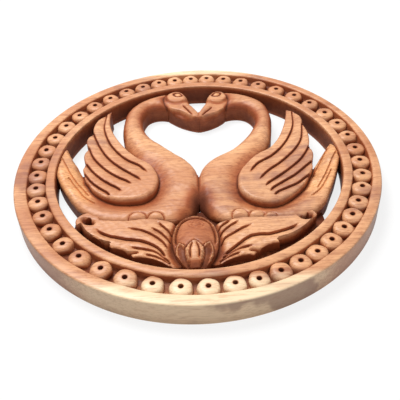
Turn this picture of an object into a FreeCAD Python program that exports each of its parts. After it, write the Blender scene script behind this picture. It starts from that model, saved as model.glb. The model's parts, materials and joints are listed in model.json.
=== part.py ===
import FreeCAD, Part
import Sketcher
import math
import os

Vector = FreeCAD.Vector

doc = FreeCAD.newDocument("swan_panel")

# Driving dimensions in millimetres
DIMENSIONS = {
    "panel_diameter": 300,
    "panel_thickness": 20,
    "rim_width": 8.5,
    "rim_ease": 1,
    "channel_width": 15.5,
    "channel_depth": 7.5,
    "channel_draft": 0.8,
    "inner_rim_width": 7.5,
    "carving_shift_right": 1.5,
    "carving_shift_up": 1,
    "boss_pitch": 17.9,
    "boss_facets": 6,
    "boss_clearance": 0.3,
    "boss_drop": 1,
    "boss_shoulder_drop": 2.4,
    "boss_shoulder_inset": 1.2,
    "boss_eye_diameter": 3.4,
    "boss_eye_depth": 3,
    "joint_gap": 0.15,
    "neck_drop": 0.8,
    "neck_bevel_height": 7,
    "neck_bevel_inset": 5,
    "body_drop": 4.5,
    "body_bevel_height": 4,
    "body_bevel_inset": 4.5,
    "head_drop": 0.3,
    "head_dome_radius": 400,
    "wing_drop": 0.2,
    "wing_dome_radius": 900,
    "feather_cut_depth": 6,
    "feather_cut_width": 10,
    "leaf_drop": 3.5,
    "leaf_dome_radius": 500,
    "vein_depth": 5,
    "vein_width": 8,
    "leaf_curl_diameter": 6,
    "ground_thickness": 6,
    "bud_drop": 0.4,
    "bud_dome_radius": 90,
    "recess_width": 18,
    "recess_length": 24,
    "recess_depth": 3.6,
    "recess_wall": 4,
    "strap_width": 6.5,
    "strap_thickness": 0.7,
    "strap_length": 12,
    "strap_margin": 1,
    "wire_diameter": 1.6,
    "wire_clearance": 0.08,
    "hanger_ring_width": 12,
    "hanger_ring_top_width": 9,
    "hanger_ring_reach": 9,
    "screw_diameter": 2.5,
    "screw_length": 8,
    "screw_clearance": 0.05,
    "screw_head_diameter": 5,
    "screw_head_height": 1.2,
}

sizes = doc.addObject("Spreadsheet::Sheet", "sizes")
for row, (alias, value) in enumerate(DIMENSIONS.items(), start=1):
    sizes.set(f"A{row}", alias)
    sizes.set(f"B{row}", str(value))
    sizes.setAlias(f"B{row}", alias)
doc.recompute()


def size(alias):
    return float(sizes.get(alias))


def add(kind, name, **formulas):
    """New document object with properties bound to formulas of the sheet."""
    item = doc.addObject(kind, name)
    for prop, formula in formulas.items():
        item.setExpression(prop.replace("__", "."), formula)
    return item


def shaped(name, shape):
    """Document object holding a shape worked out from the sheet's values."""
    item = doc.addObject("Part::Feature", name)
    item.Shape = shape
    return item


def cut(name, base, *tools):
    for count, tool in enumerate(tools, start=1):
        result = doc.addObject("Part::Cut", name if count == len(tools) else f"{name}_stage_{count}")
        result.Base = base
        result.Tool = tool
        base = result
    return base


def common(name, *pieces):
    result = doc.addObject("Part::MultiCommon", name)
    result.Shapes = list(pieces)
    return result


def fuse(name, *pieces):
    result = doc.addObject("Part::MultiFuse", name)
    result.Shapes = list(pieces)
    return result


# Levels and radii as formulas of the sheet
OUTER = "sizes.panel_diameter / 2"
CHANNEL_OUTER = f"({OUTER} - sizes.rim_width)"
CHANNEL_INNER = f"({CHANNEL_OUTER} - sizes.channel_width)"
OPENING = f"({CHANNEL_INNER} - sizes.inner_rim_width)"
TOP = "sizes.panel_thickness"
EASED_TOP = f"({TOP} - sizes.rim_ease)"
FLOOR = f"({TOP} - sizes.channel_depth)"

ORIGIN_POINT = (-1, 1)
LINE_START = 1
LINE_END = 2


def polygon_sketch(body, name, role, corners):
    """Closed polygon on an origin plane, each corner placed by two formulas."""
    sketch = body.newObject("Sketcher::SketchObject", name)
    plane = next(item for item in body.Origin.OriginFeatures if item.Role == role)
    sketch.AttachmentSupport = (plane, [""])
    sketch.MapMode = "FlatFace"
    count = len(corners)
    turns = [math.tau * index / count for index in range(count)]
    guesses = [Vector(2 + math.cos(turn), 2 + math.sin(turn), 0) for turn in turns]
    for index in range(count):
        sketch.addGeometry(Part.LineSegment(guesses[index], guesses[(index + 1) % count]))
    for index in range(count):
        following = (index + 1) % count
        sketch.addConstraint(Sketcher.Constraint("Coincident", index, LINE_END, following, LINE_START))
    for index, formulas in enumerate(corners):
        for kind, formula, guess in zip(("DistanceX", "DistanceY"), formulas, guesses[index]):
            constraint = Sketcher.Constraint(kind, *ORIGIN_POINT, index, LINE_START, guess)
            number = sketch.addConstraint(constraint)
            sketch.setExpression(f"Constraints[{number}]", formula)
    return sketch


def turned(name, corners):
    """Body revolved about the Z axis from a profile of radius and height formulas."""
    body = doc.addObject("PartDesign::Body", name)
    sketch = polygon_sketch(body, f"{name}_profile", "XZ_Plane", corners)
    turn = body.newObject("PartDesign::Revolution", f"{name}_turn")
    turn.Profile = sketch
    turn.ReferenceAxis = (sketch, ["V_Axis"])
    turn.Angle = 360
    return body


# Frame ring: a round board with the channel and the opening carved a little off its centre
CARVING_X = "sizes.carving_shift_right"
CARVING_Y = "sizes.carving_shift_up"
RECESS_END = f"({OUTER} - sizes.recess_wall)"
STRAP_START = f"({RECESS_END} - sizes.recess_length + sizes.strap_margin)"
SCREW_Y = f"({STRAP_START} + sizes.strap_width / 2)"
STRAP_SEAT = "(sizes.recess_depth - sizes.strap_thickness)"

board = turned(
    "board",
    [
        ("0", "0"),
        (OUTER, "0"),
        (OUTER, EASED_TOP),
        (f"{OUTER} - sizes.rim_ease", TOP),
        ("0", TOP),
    ],
)
channel = turned(
    "channel",
    [
        (f"{CHANNEL_INNER} + sizes.channel_draft", FLOOR),
        (f"{CHANNEL_OUTER} - sizes.channel_draft", FLOOR),
        (CHANNEL_OUTER, TOP),
        (CHANNEL_INNER, TOP),
    ],
)
opening = turned(
    "opening",
    [
        ("0", "0"),
        (OPENING, "0"),
        (OPENING, TOP),
        ("0", TOP),
    ],
)
for carved in (channel, opening):
    carved.setExpression("Placement.Base.x", CARVING_X)
    carved.setExpression("Placement.Base.y", CARVING_Y)
recess = add(
    "Part::Box",
    "hanger_recess",
    Length="sizes.recess_width",
    Width="sizes.recess_length",
    Height="sizes.recess_depth",
    Placement__Base__x="-sizes.recess_width / 2",
    Placement__Base__y=f"{RECESS_END} - sizes.recess_length",
)
pilot = add(
    "Part::Cylinder",
    "pilot_hole",
    Radius="sizes.screw_diameter / 2 + sizes.screw_clearance",
    Height="sizes.screw_length + sizes.screw_clearance",
    Placement__Base__y=SCREW_Y,
    Placement__Base__z=STRAP_SEAT,
)
frame_ring = cut("frame_ring", board, channel, opening, recess, pilot)


def carving_disc(name, height, level):
    """Disc that fills the opening up to the joint gap."""
    return add(
        "Part::Cylinder",
        name,
        Radius=f"{OPENING} - sizes.joint_gap",
        Height=height,
        Placement__Base__x=CARVING_X,
        Placement__Base__y=CARVING_Y,
        Placement__Base__z=level,
    )


opening_disc = carving_disc("opening_disc", TOP, "0")
doc.recompute()

gap = size("joint_gap")
thickness = size("panel_thickness")
opening_radius = opening_disc.Radius.Value + gap

carving_centre = opening_disc.Placement.Base

# Ring of punched bosses, spaced by eye as the carver left them
boss_base = size("channel_width") / 2 - size("channel_draft") - size("boss_clearance")
boss_height = size("channel_depth") - size("boss_drop")
boss_facets = round(size("boss_facets"))


def facet_ring(radius, level):
    """Corners of a regular polygon about the Z axis."""
    turns = [math.tau * index / boss_facets for index in range(boss_facets)]
    return [Vector(radius * math.cos(turn), radius * math.sin(turn), level) for turn in turns]


def flat_face(*corners):
    return Part.Face(Part.makePolygon([*corners, corners[0]]))


foot = facet_ring(boss_base, 0)
shoulder = facet_ring(boss_base - size("boss_shoulder_inset"), boss_height - size("boss_shoulder_drop"))
crest = facet_ring(size("boss_eye_diameter") / 2, boss_height)
eye_point = Vector(0, 0, boss_height - size("boss_eye_depth"))
facets = [flat_face(*reversed(foot))]
for index in range(boss_facets):
    after = (index + 1) % boss_facets
    facets.append(flat_face(foot[index], foot[after], shoulder[after], shoulder[index]))
    facets.append(flat_face(shoulder[index], shoulder[after], crest[after], crest[index]))
    facets.append(flat_face(crest[index], crest[after], eye_point))
boss = Part.Solid(Part.Shell(facets))

# Uneven spacing in degrees, as cosine and sine parts of one, two, three and four turns
BOSS_LEAD = 6.43
BOSS_DRIFT = [(1.05, -0.56), (-1.79, 0.19), (0.2, -1.3), (-0.6, -0.33)]
boss_circle = opening_radius + size("inner_rim_width") + size("channel_width") / 2
boss_count = round(math.tau * boss_circle / size("boss_pitch"))
channel_floor = thickness - size("channel_depth")
bosses = []
for index in range(boss_count):
    turn = math.tau * index / boss_count
    drift = BOSS_LEAD
    for order, (cosine, sine) in enumerate(BOSS_DRIFT, start=1):
        drift += cosine * math.cos(order * turn) + sine * math.sin(order * turn)
    angle = turn + math.radians(drift)
    copy = boss.copy()
    copy.rotate(Vector(0, 0, 0), Vector(0, 0, 1), -math.degrees(angle))
    outward = Vector(math.sin(angle), math.cos(angle), 0)
    copy.translate(carving_centre + outward * boss_circle + Vector(0, 0, channel_floor))
    bosses.append(copy)
rim_bosses = shaped("rim_bosses", Part.makeCompound(bosses))

# The carving is drawn inside an opening of this radius and centre and keeps its proportions in any other
DRAWN_OPENING_RADIUS = 118.5
DRAWN_CENTRE = Vector(1.5, 1, 0)
drawing_scale = opening_radius / DRAWN_OPENING_RADIUS


def drawn(points, level=0):
    """Points of the drawing, fitted to the opening."""
    fitted = [carving_centre + (Vector(x, y, 0) - DRAWN_CENTRE) * drawing_scale for x, y in points]
    return [point + Vector(0, 0, level) for point in fitted]


def arc_edge(start, heading, end):
    """Arc that leaves a point along a heading and ends at another point."""
    chord = end - start
    turn = math.atan2(heading.x * chord.y - heading.y * chord.x, heading.dot(chord))
    if abs(turn) < 1e-4:
        return Part.LineSegment(start, end).toShape()
    side = Vector(-chord.y, chord.x, 0)
    middle = (start + end) * 0.5 - side * (0.5 * math.tan(turn / 2))
    return Part.Arc(start, middle, end).toShape()


def headings(points):
    """Direction of a smooth curve at each of the points that it passes."""
    steps = [after - before for before, after in zip(points, points[1:])]
    inner = []
    for before, after in zip(steps, steps[1:]):
        blend = before * (after.Length / before.Length) + after * (before.Length / after.Length)
        inner.append(blend.normalize())

    def mirrored(heading, step):
        along = Vector(step).normalize()
        return along * (2 * heading.dot(along)) - heading

    return [mirrored(inner[0], steps[0]), *inner, mirrored(inner[-1], steps[-1])]


def smooth_edges(points):
    """A straight edge between two points, an arc through three, pairs of tangent arcs through more."""
    if len(points) == 2:
        return [Part.LineSegment(*points).toShape()]
    if len(points) == 3:
        return [Part.Arc(*points).toShape()]
    edges = []
    directions = headings(points)
    for start, end, leaving, arriving in zip(points, points[1:], directions, directions[1:]):
        span = end - start
        reach = span.dot(leaving + arriving)
        bend = 2 * (1 - leaving.dot(arriving))
        leg = span.dot(span) / (reach + math.sqrt(reach**2 + bend * span.dot(span)))
        first = start + leaving * leg
        second = end - arriving * leg
        knee = (first + second) * 0.5
        edges.append(arc_edge(start, leaving, knee))
        edges.append(arc_edge(knee, second - first, end))
    return edges


def outline(level, *stretches):
    """Closed wire of smooth stretches that meet at corners."""
    edges = []
    for stretch in stretches:
        edges += smooth_edges(drawn(stretch, level))
    return Part.Wire(edges)


def prism(name, wire, height):
    """Extrusion of a wire by a formula of the sheet."""
    line = shaped(f"{name}_outline", wire)
    solid = add("Part::Extrusion", f"{name}_blank", LengthFwd=height)
    solid.Base = line
    solid.DirMode = "Custom"
    solid.Dir = Vector(0, 0, 1)
    solid.Solid = True
    return solid


def grown(name, wire):
    """Room for a neighbour: its outline with the joint gap round it, through the whole thickness."""
    wider = Part.Face(wire).makeOffset2D(gap)
    wider.translate(Vector(0, 0, -wider.BoundBox.ZMin))
    return shaped(f"{name}_room", wider.extrude(Vector(0, 0, thickness)))


def dome(name, crown, radius, drop):
    """Ball whose highest point lies over the crown of a carved piece."""
    ball = add("Part::Sphere", f"{name}_dome", Radius=radius, Placement__Base__z=f"{TOP} - {drop} - {radius}")
    ball.Placement.Base = drawn([crown])[0]
    ball.Placement.Rotation = FreeCAD.Rotation(Vector(1, 0, 0), 90)
    return ball


def band(stations, layers):
    """Solid between two smooth edges, given as cross lines, and drawn in layer by layer."""
    wires = []
    for inset, level in layers:
        near = []
        far = []
        for near_x, near_y, far_x, far_y in stations:
            start, end = drawn([(near_x, near_y), (far_x, far_y)], level)
            inward = (end - start).normalize() * inset
            near.append(start + inward)
            far.append(end - inward)
        far.reverse()
        edges = smooth_edges(near) + smooth_edges([near[-1], far[0]])
        edges += smooth_edges(far) + smooth_edges([far[-1], near[0]])
        wires.append(Part.Wire(edges))
    return Part.makeLoft(wires, True, True)


def gouge(points, crown, depth, width, side):
    """Stop cut along a line with a slope beside it, deepest where it starts and run out at its end."""
    path = drawn(points, crown - depth)
    line = smooth_edges(path)
    leaving = line[0].tangentAt(line[0].FirstParameter)
    start = path[0] - leaving * width
    spine = Part.Wire([Part.LineSegment(start, path[0]).toShape(), *line])
    across = Vector(-leaving.y, leaving.x, 0) * (side * width)
    corners = [start, start + Vector(0, 0, depth), start + across + Vector(0, 0, depth), start]
    cutter = spine.makePipe(Part.Face(Part.makePolygon(corners)))
    chord = path[-1] - path[0]
    rise = math.degrees(math.asin(depth / chord.Length))
    cutter.rotate(path[0], Vector(chord.y, -chord.x, 0), rise)
    return cutter


LEFT = -1
RIGHT = 1

# Swans: neck over body, as cross lines from the wing side to the heart side
MEETING_LINE = 1
NECKS = {
    "left": [
        (-20, 113.4, -19, 84.5),
        (-38, 109.5, -33, 91.2),
        (-51, 102, -41.5, 88.2),
        (-61.5, 88, -47, 78),
        (-65.2, 68, -47.2, 66),
        (-64, 46, -41, 48),
        (-57, 24, -29, 34),
        (-40, 4, -13, 15),
        (-18, -16, -1, -7),
    ],
    "right": [
        (25, 111.3, 22, 79),
        (40, 109.3, 38, 87),
        (54, 103, 46.5, 84.8),
        (65, 92, 53, 77),
        (70, 74, 55.2, 67),
        (69, 54, 51, 52),
        (64, 30, 37.5, 30.5),
        (46, 3, 15, 9.5),
        (22, -17, 3, -8),
    ],
}
BODIES = {
    "left": [
        (-40, 4, -17, 20.5),
        (-35.5, -11, 1.5, -9),
        (-35, -26, 1.5, -36),
        (-43, -34, -8, -55),
        (-60, -34, -40, -59),
        (-78, -27, -84, -52),
        (-93.5, -4, -108.5, -21),
        (-104, 15, -117.5, 0),
        (-111.5, 31, -122, 16),
    ],
    "right": [
        (46, 2, 20, 17),
        (37, -14, 0.5, -10),
        (37, -34, 0.5, -40),
        (47, -43, 13, -58),
        (64, -43, 48, -62),
        (82, -29, 91, -57),
        (97, -5, 110, -25),
        (107, 9, 117.5, -5),
        (115, 21, 123, 12),
    ],
}
HEADS = {
    "left": [
        [(-21, 85.5), (-28, 99), (-23, 114)],
        [(-23, 114), (-13, 114.5), (-6, 105.5), (-4, 91.5)],
        [(-4, 91.5), (0.6, 84), (3.8, 78)],
        [(3.8, 78), (3.8, 69.8)],
        [(3.8, 69.8), (-9, 75.5), (-21, 85.5)],
    ],
    "right": [
        [(27, 82.3), (32, 97), (26, 111.5)],
        [(26, 111.5), (17, 109.5), (12, 102), (10.8, 91)],
        [(10.8, 91), (7.2, 84), (4.2, 78)],
        [(4.2, 78), (4.2, 69.8)],
        [(4.2, 69.8), (14, 73), (27, 82.3)],
    ],
}
HEAD_CROWNS = {"left": (-16, 101), "right": (21, 98)}
WINGS = {
    "left": [
        [(-76.5, 83), (-77, 66), (-69, 41), (-53, 17), (-36, 0)]
        + [(-31.5, -16), (-38, -33.5), (-60, -38.3), (-88.5, -17.5)],
        [(-88.5, -17.5), (-92.3, -10), (-92.6, -5.5)],
        [(-92.6, -5.5), (-94.6, 1.5), (-92.5, 7.5)],
        [(-92.5, 7.5), (-95.6, 19), (-92.5, 30)],
        [(-92.5, 30), (-95, 42), (-90, 50.5)],
        [(-90, 50.5), (-89.5, 66), (-80, 79)],
        [(-80, 79), (-76.5, 83)],
    ],
    "right": [
        [(84, 72), (79, 49), (67, 23), (46, 5)]
        + [(33.5, -16), (36, -38), (57, -49), (77, -39), (91, -19.5)],
        [(91, -19.5), (95, -11), (95.5, -3)],
        [(95.5, -3), (98.3, 6), (96.5, 18)],
        [(96.5, 18), (98.4, 36), (95.6, 52)],
        [(95.6, 52), (94, 64), (88.8, 70)],
        [(88.8, 70), (84, 72)],
    ],
}
WING_CROWNS = {"left": (-60, 5), "right": (62, -5)}
FEATHERS = {
    "left": [
        [(-80, 79), (-81.4, 52), (-66, 20), (-39.5, -8)],
        [(-90, 50.5), (-79, 19), (-44.5, -18)],
        [(-92.5, 30), (-78, 4), (-52, -21)],
        [(-92.5, 7.5), (-78, -11), (-60, -27.6)],
        [(-92.6, -5.5), (-81, -20), (-69, -31)],
    ],
    "right": [
        [(88.8, 70), (84, 39), (67, 12), (42.6, -15)],
        [(95.6, 52), (80, 10), (49, -24)],
        [(96.5, 18), (80, -6), (53, -31.6)],
        [(95.5, -3), (79.5, -18.5), (56.4, -37)],
        [(91, -19.5), (77, -30), (59, -41.6)],
    ],
}

neck_top = thickness - size("neck_drop")
neck_layers = [
    (0, 0),
    (0, neck_top - size("neck_bevel_height")),
    (size("neck_bevel_inset"), neck_top),
]
body_top = thickness - size("body_drop")
body_layers = [
    (0, 0),
    (0, body_top - size("body_bevel_height")),
    (size("body_bevel_inset"), body_top),
]
room_layers = [(-gap, 0), (-gap, thickness)]
wing_top = thickness - size("wing_drop")

halves = {}
for side, direction in (("left", LEFT), ("right", RIGHT)):
    half = add(
        "Part::Box",
        f"{side}_half",
        Length=OUTER,
        Width="sizes.panel_diameter",
        Height=TOP,
        Placement__Base__y=f"-{OUTER}",
    )
    meeting = drawn([(MEETING_LINE, 0)])[0].x + direction * gap / 2
    half.Placement.Base.x = meeting if direction == RIGHT else meeting - size("panel_diameter") / 2
    halves[side] = half

nodes = [frame_ring, rim_bosses]
body_rooms = []
for side, direction in (("left", LEFT), ("right", RIGHT)):
    head_wire = outline(0, *HEADS[side])
    wing_wire = outline(0, *WINGS[side])

    neck = shaped(f"{side}_neck_blank", band(NECKS[side], neck_layers))
    body = shaped(f"{side}_body_blank", band(BODIES[side], body_layers))
    swan_blank = fuse(f"{side}_swan_blank", neck, body)
    swan_trimmed = common(f"{side}_swan_trimmed", swan_blank, opening_disc, halves[side])
    rooms = [grown(f"{side}_head", head_wire), grown(f"{side}_wing", wing_wire)]
    nodes.append(cut(f"{side}_swan", swan_trimmed, *rooms))
    body_rooms.append(shaped(f"{side}_body_room", band(BODIES[side], room_layers)))

    head_dome = dome(f"{side}_head", HEAD_CROWNS[side], "sizes.head_dome_radius", "sizes.head_drop")
    nodes.append(common(f"{side}_head", prism(f"{side}_head", head_wire, TOP), head_dome))

    wing_dome = dome(f"{side}_wing", WING_CROWNS[side], "sizes.wing_dome_radius", "sizes.wing_drop")
    wing_blank = common(f"{side}_wing_domed", prism(f"{side}_wing", wing_wire, TOP), wing_dome)
    feather_cuts = []
    for number, line in enumerate(FEATHERS[side], start=1):
        cutter = gouge(line, wing_top, size("feather_cut_depth"), size("feather_cut_width"), direction)
        feather_cuts.append(shaped(f"{side}_feather_cut_{number}", cutter))
    nodes.append(cut(f"{side}_wing", wing_blank, *feather_cuts))

# Ground below the swans, which the bud and the leaves stand on
GROUND = [
    [(-96, -44), (-60, -46), (-12, -44), (12, -46), (58, -53), (96, -48)],
    [(96, -48), (98, -74)],
    [(98, -74), (0, -150), (-99, -72)],
    [(-99, -72), (-96, -44)],
]
ground_blank = prism("ground", outline(0, *GROUND), "sizes.ground_thickness")
ground_trimmed = common("ground_trimmed", ground_blank, opening_disc)
nodes.append(cut("ground_web", ground_trimmed, *body_rooms))

# Lotus bud: a domed egg
BUD = [
    [(-3.2, -59), (7.5, -63), (13, -76), (13.2, -92), (2, -111.5)],
    [(2, -111.5), (-9, -111.5)],
    [(-9, -111.5), (-19.8, -92), (-19.6, -76), (-14, -63), (-3.2, -59)],
]
BUD_CROWN = (-3.2, -84)
ON_GROUND = f"{TOP} - sizes.ground_thickness"
ground_top = size("ground_thickness")
bud_blank = prism("bud", outline(ground_top, *BUD), ON_GROUND)
nodes.append(common("lotus_bud", bud_blank, dome("bud", BUD_CROWN, "sizes.bud_dome_radius", "sizes.bud_drop")))
bud_room = grown("bud", outline(0, *BUD))

# Acanthus leaves from the bud to the swans' tails
LEAVES = {
    "left": [
        [(-8, -75), (-22, -64), (-36, -60), (-58, -61), (-76, -59)],
        [(-76, -59), (-86, -51), (-94.5, -61)],
        [(-94.5, -61), (-90, -70), (-78, -77.5), (-65, -88.5)],
        [(-65, -88.5), (-60, -89), (-49, -97.5)],
        [(-49, -97.5), (-40, -98), (-20, -108.5)],
        [(-20, -108.5), (-8, -104)],
        [(-8, -104), (-8, -75)],
    ],
    "right": [
        [(2, -75), (16, -67), (30, -63.5), (52, -64), (72, -64)],
        [(72, -64), (82, -57.5), (89.5, -65)],
        [(89.5, -65), (80, -75.5), (58, -91)],
        [(58, -91), (54, -91), (38.5, -101)],
        [(38.5, -101), (30, -100.5), (12.5, -107)],
        [(12.5, -107), (2, -104)],
        [(2, -104), (2, -75)],
    ],
}
LEAF_CROWNS = {"left": (-50, -75), "right": (46, -78)}
VEINS = {
    "left": [
        [(-84, -66), (-60, -78.5), (-25, -93)],
        [(-60, -66), (-42, -72), (-22, -84)],
        [(-38, -63), (-30, -71), (-20, -78)],
    ],
    "right": [
        [(82, -71), (56, -80), (20, -93)],
        [(54, -68), (36, -74), (16, -85)],
        [(34, -65), (24, -72), (14, -78)],
    ],
}
LEAF_CURLS = {"left": (-85, -59.5), "right": (81, -64.5)}
leaf_top = thickness - size("leaf_drop")
for side, direction in (("left", LEFT), ("right", RIGHT)):
    leaf_wire = outline(ground_top, *LEAVES[side])
    leaf_blank = prism(f"{side}_leaf", leaf_wire, ON_GROUND)
    leaf_dome = dome(f"{side}_leaf", LEAF_CROWNS[side], "sizes.leaf_dome_radius", "sizes.leaf_drop")
    leaf_trimmed = common(f"{side}_leaf_trimmed", leaf_blank, leaf_dome, opening_disc)
    curl = add("Part::Cylinder", f"{side}_leaf_curl", Radius="sizes.leaf_curl_diameter / 2", Height=TOP)
    curl.Placement.Base = drawn([LEAF_CURLS[side]])[0]
    tools = [body_rooms[0 if side == "left" else 1], bud_room, curl]
    for number, line in enumerate(VEINS[side], start=1):
        cutter = gouge(line, leaf_top, size("vein_depth"), size("vein_width"), -direction)
        tools.append(shaped(f"{side}_vein_{number}", cutter))
    nodes.append(cut(f"{side}_leaf", leaf_trimmed, *tools))

# Hanger: a strap folded round the bar of a wire ring and screwed into the recess behind the rim
BORE = "(sizes.wire_diameter / 2 + sizes.wire_clearance)"
BARREL = f"({BORE} + sizes.strap_thickness)"
PIVOT_Y = f"({STRAP_START} + sizes.strap_length)"
PIVOT_Z = f"(sizes.recess_depth - {BARREL})"

ALONG_X = FreeCAD.Rotation(Vector(0, 1, 0), 90)


def cross_bar(name, radius, length):
    """Cylinder on the hinge axis, centred across the panel."""
    bar = add(
        "Part::Cylinder",
        name,
        Radius=radius,
        Height=length,
        Placement__Base__x=f"-{length} / 2",
        Placement__Base__y=PIVOT_Y,
        Placement__Base__z=PIVOT_Z,
    )
    bar.Placement.Rotation = ALONG_X
    return bar


strap_plate = add(
    "Part::Box",
    "strap_plate",
    Length="sizes.strap_width",
    Width="sizes.strap_length",
    Height="sizes.strap_thickness",
    Placement__Base__x="-sizes.strap_width / 2",
    Placement__Base__y=STRAP_START,
    Placement__Base__z=STRAP_SEAT,
)
strap_barrel = cross_bar("strap_barrel", BARREL, "sizes.strap_width")
strap_bore = cross_bar("strap_bore", BORE, "sizes.hanger_ring_width")
nodes.append(cut("hanger_strap", fuse("strap_blank", strap_plate, strap_barrel), strap_bore, pilot))

doc.recompute()
pivot = strap_bore.Placement.Base
wire_radius = size("wire_diameter") / 2
foot_x = size("hanger_ring_width") / 2 - wire_radius
head_x = size("hanger_ring_top_width") / 2 - wire_radius
reach = size("hanger_ring_reach")
ring_corners = [(0, 0), (foot_x, 0), (head_x, reach), (-head_x, reach), (-foot_x, 0), (0, 0)]
ring_path = Part.makePolygon([Vector(x, pivot.y + y, pivot.z) for x, y in ring_corners])
wire_section = Part.Wire(Part.makeCircle(wire_radius, Vector(0, pivot.y, pivot.z), Vector(1, 0, 0)))
MITRED = 1
nodes.append(shaped("hanger_ring", ring_path.makePipeShell([wire_section], True, False, MITRED)))

SHANK = "sizes.screw_diameter / 2"
HEAD = "sizes.screw_head_diameter / 2"
screw = turned(
    "hanger_screw",
    [
        ("0", "0"),
        (f"{HEAD} / 2", "0"),
        (HEAD, "sizes.screw_head_height"),
        (SHANK, "sizes.screw_head_height"),
        (SHANK, "sizes.screw_head_height + sizes.screw_length"),
        ("0", "sizes.screw_head_height + sizes.screw_length"),
    ],
)
screw.setExpression("Placement.Base.y", SCREW_Y)
screw.setExpression("Placement.Base.z", f"{STRAP_SEAT} - sizes.screw_head_height")
nodes.append(screw)

doc.recompute()

for item in doc.Objects:
    if "Invalid" in item.State or "Error" in item.State:
        raise RuntimeError(f"{item.Name} failed: {item.State}")
for node in nodes:
    if node.Shape.isNull() or not node.Shape.isValid():
        raise RuntimeError(f"{node.Label} has no valid shape")

os.makedirs("parts", exist_ok=True)
for node in nodes:
    node.Shape.exportStep(f"parts/{node.Label}.step")
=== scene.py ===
import functools
import itertools
import json
import math

import bpy
import numpy as np
from mathutils import Matrix, Vector, geometry


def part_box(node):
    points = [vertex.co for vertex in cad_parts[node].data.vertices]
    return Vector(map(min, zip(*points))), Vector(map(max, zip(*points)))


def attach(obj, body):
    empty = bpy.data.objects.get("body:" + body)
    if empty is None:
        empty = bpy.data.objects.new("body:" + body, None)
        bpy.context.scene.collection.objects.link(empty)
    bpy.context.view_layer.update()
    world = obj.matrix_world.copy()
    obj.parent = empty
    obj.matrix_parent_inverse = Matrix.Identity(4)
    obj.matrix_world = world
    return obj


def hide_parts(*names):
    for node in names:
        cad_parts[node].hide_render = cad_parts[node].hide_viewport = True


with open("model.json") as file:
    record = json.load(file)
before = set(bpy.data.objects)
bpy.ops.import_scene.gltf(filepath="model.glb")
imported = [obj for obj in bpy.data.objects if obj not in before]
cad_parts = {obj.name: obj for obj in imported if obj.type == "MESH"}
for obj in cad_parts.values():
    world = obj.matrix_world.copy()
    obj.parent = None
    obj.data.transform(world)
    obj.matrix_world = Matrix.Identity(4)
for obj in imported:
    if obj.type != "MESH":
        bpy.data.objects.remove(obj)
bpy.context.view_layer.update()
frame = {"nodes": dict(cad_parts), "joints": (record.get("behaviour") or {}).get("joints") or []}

MM = 0.001

# Levels and outer radius of the panel in millimetres, read from the solids
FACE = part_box("frame_ring")[1].z / MM
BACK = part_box("frame_ring")[0].z / MM
PANEL_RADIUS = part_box("frame_ring")[1].x / MM
GROUND_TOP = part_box("ground_web")[1].z / MM
CHANNEL_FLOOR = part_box("rim_bosses")[0].z / MM
# Plan of the ring: the opening's centre and radius, the inner rim, and the channel of the bosses
CARVING_CENTRE = np.array([1.5, 1.0])
OPENING_RADIUS = 118.5
INNER_RIM_WIDTH = 7.5
CHANNEL_WIDTH = 15.5
CHANNEL_INNER = OPENING_RADIUS + INNER_RIM_WIDTH
CHANNEL_OUTER = CHANNEL_INNER + CHANNEL_WIDTH

# Step between the points of a carved face, and the distance within which two outlines share a seam
CHIP_SPACING = 0.9
SEAM_REACH = 0.7
# The two sides of the carving, with the side of a line on which a cut's slope lies
LEFT = 1
RIGHT = -1
TURNS = {"left": LEFT, "right": RIGHT}


def ramp(value, start, full):
    """Smooth change from nought at the start to one where it is full."""
    share = np.clip((value - start) / (full - start), 0, 1)
    return share * share * (3 - 2 * share)


def bell(distance, width, peak=1.0):
    """A soft swelling that has its peak at no distance."""
    return peak * np.exp(-((distance / width) ** 2))


def domed(reach):
    """Height of a round dome one unit high, at a share of its radius from the middle."""
    return np.sqrt(np.clip(1 - reach**2, 0, 1))


# Outlines and distances in the plan of the carving
SAME_POINT_DIGITS = 3
LEVEL_TOLERANCE = 0.01
CURVE_STEPS = 11
CURVE_SPACING = 0.8
SHORTEST_SQUARE = 1e-12
BATCH = 2000


def welded(node):
    """Points in millimetres and triangles of a solid, with equal points joined."""
    mesh = frame["nodes"][node].data
    mesh.calc_loop_triangles()
    places = np.array([vertex.co for vertex in mesh.vertices]) / MM
    triangles = np.array([triangle.vertices for triangle in mesh.loop_triangles])
    points, joined = np.unique(np.round(places, SAME_POINT_DIGITS), axis=0, return_inverse=True)
    return points, joined.reshape(-1)[triangles]


def foot_outlines(node):
    """Closed outlines of a solid's flat foot, and the foot's level."""
    points, triangles = welded(node)
    foot = points[:, 2].min()
    flat = triangles[(points[triangles, 2] < foot + LEVEL_TOLERANCE).all(axis=1)]
    steps = {(a, b) for triangle in flat for a, b in zip(triangle, np.roll(triangle, -1)) if a != b}
    following = {a: b for a, b in steps if (b, a) not in steps}
    loops = []
    while following:
        start, corner = following.popitem()
        loop = [start]
        while corner != start:
            loop.append(corner)
            corner = following.pop(corner)
        loops.append(points[loop, :2])
    loops.sort(key=lambda loop: -np.ptp(loop[:, 0]))
    return loops, foot


def evenly(line, step):
    """Points at even steps along an open line."""
    lengths = np.hypot(*np.diff(line, axis=0).T)
    travelled = np.concatenate([[0], np.cumsum(lengths)])
    stops = np.linspace(0, travelled[-1], max(2, round(travelled[-1] / step) + 1))
    return np.column_stack([np.interp(stops, travelled, line[:, axis]) for axis in range(2)])


def evenly_round(loop, step):
    return evenly(np.vstack([loop, loop[:1]]), step)[:-1]


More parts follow.
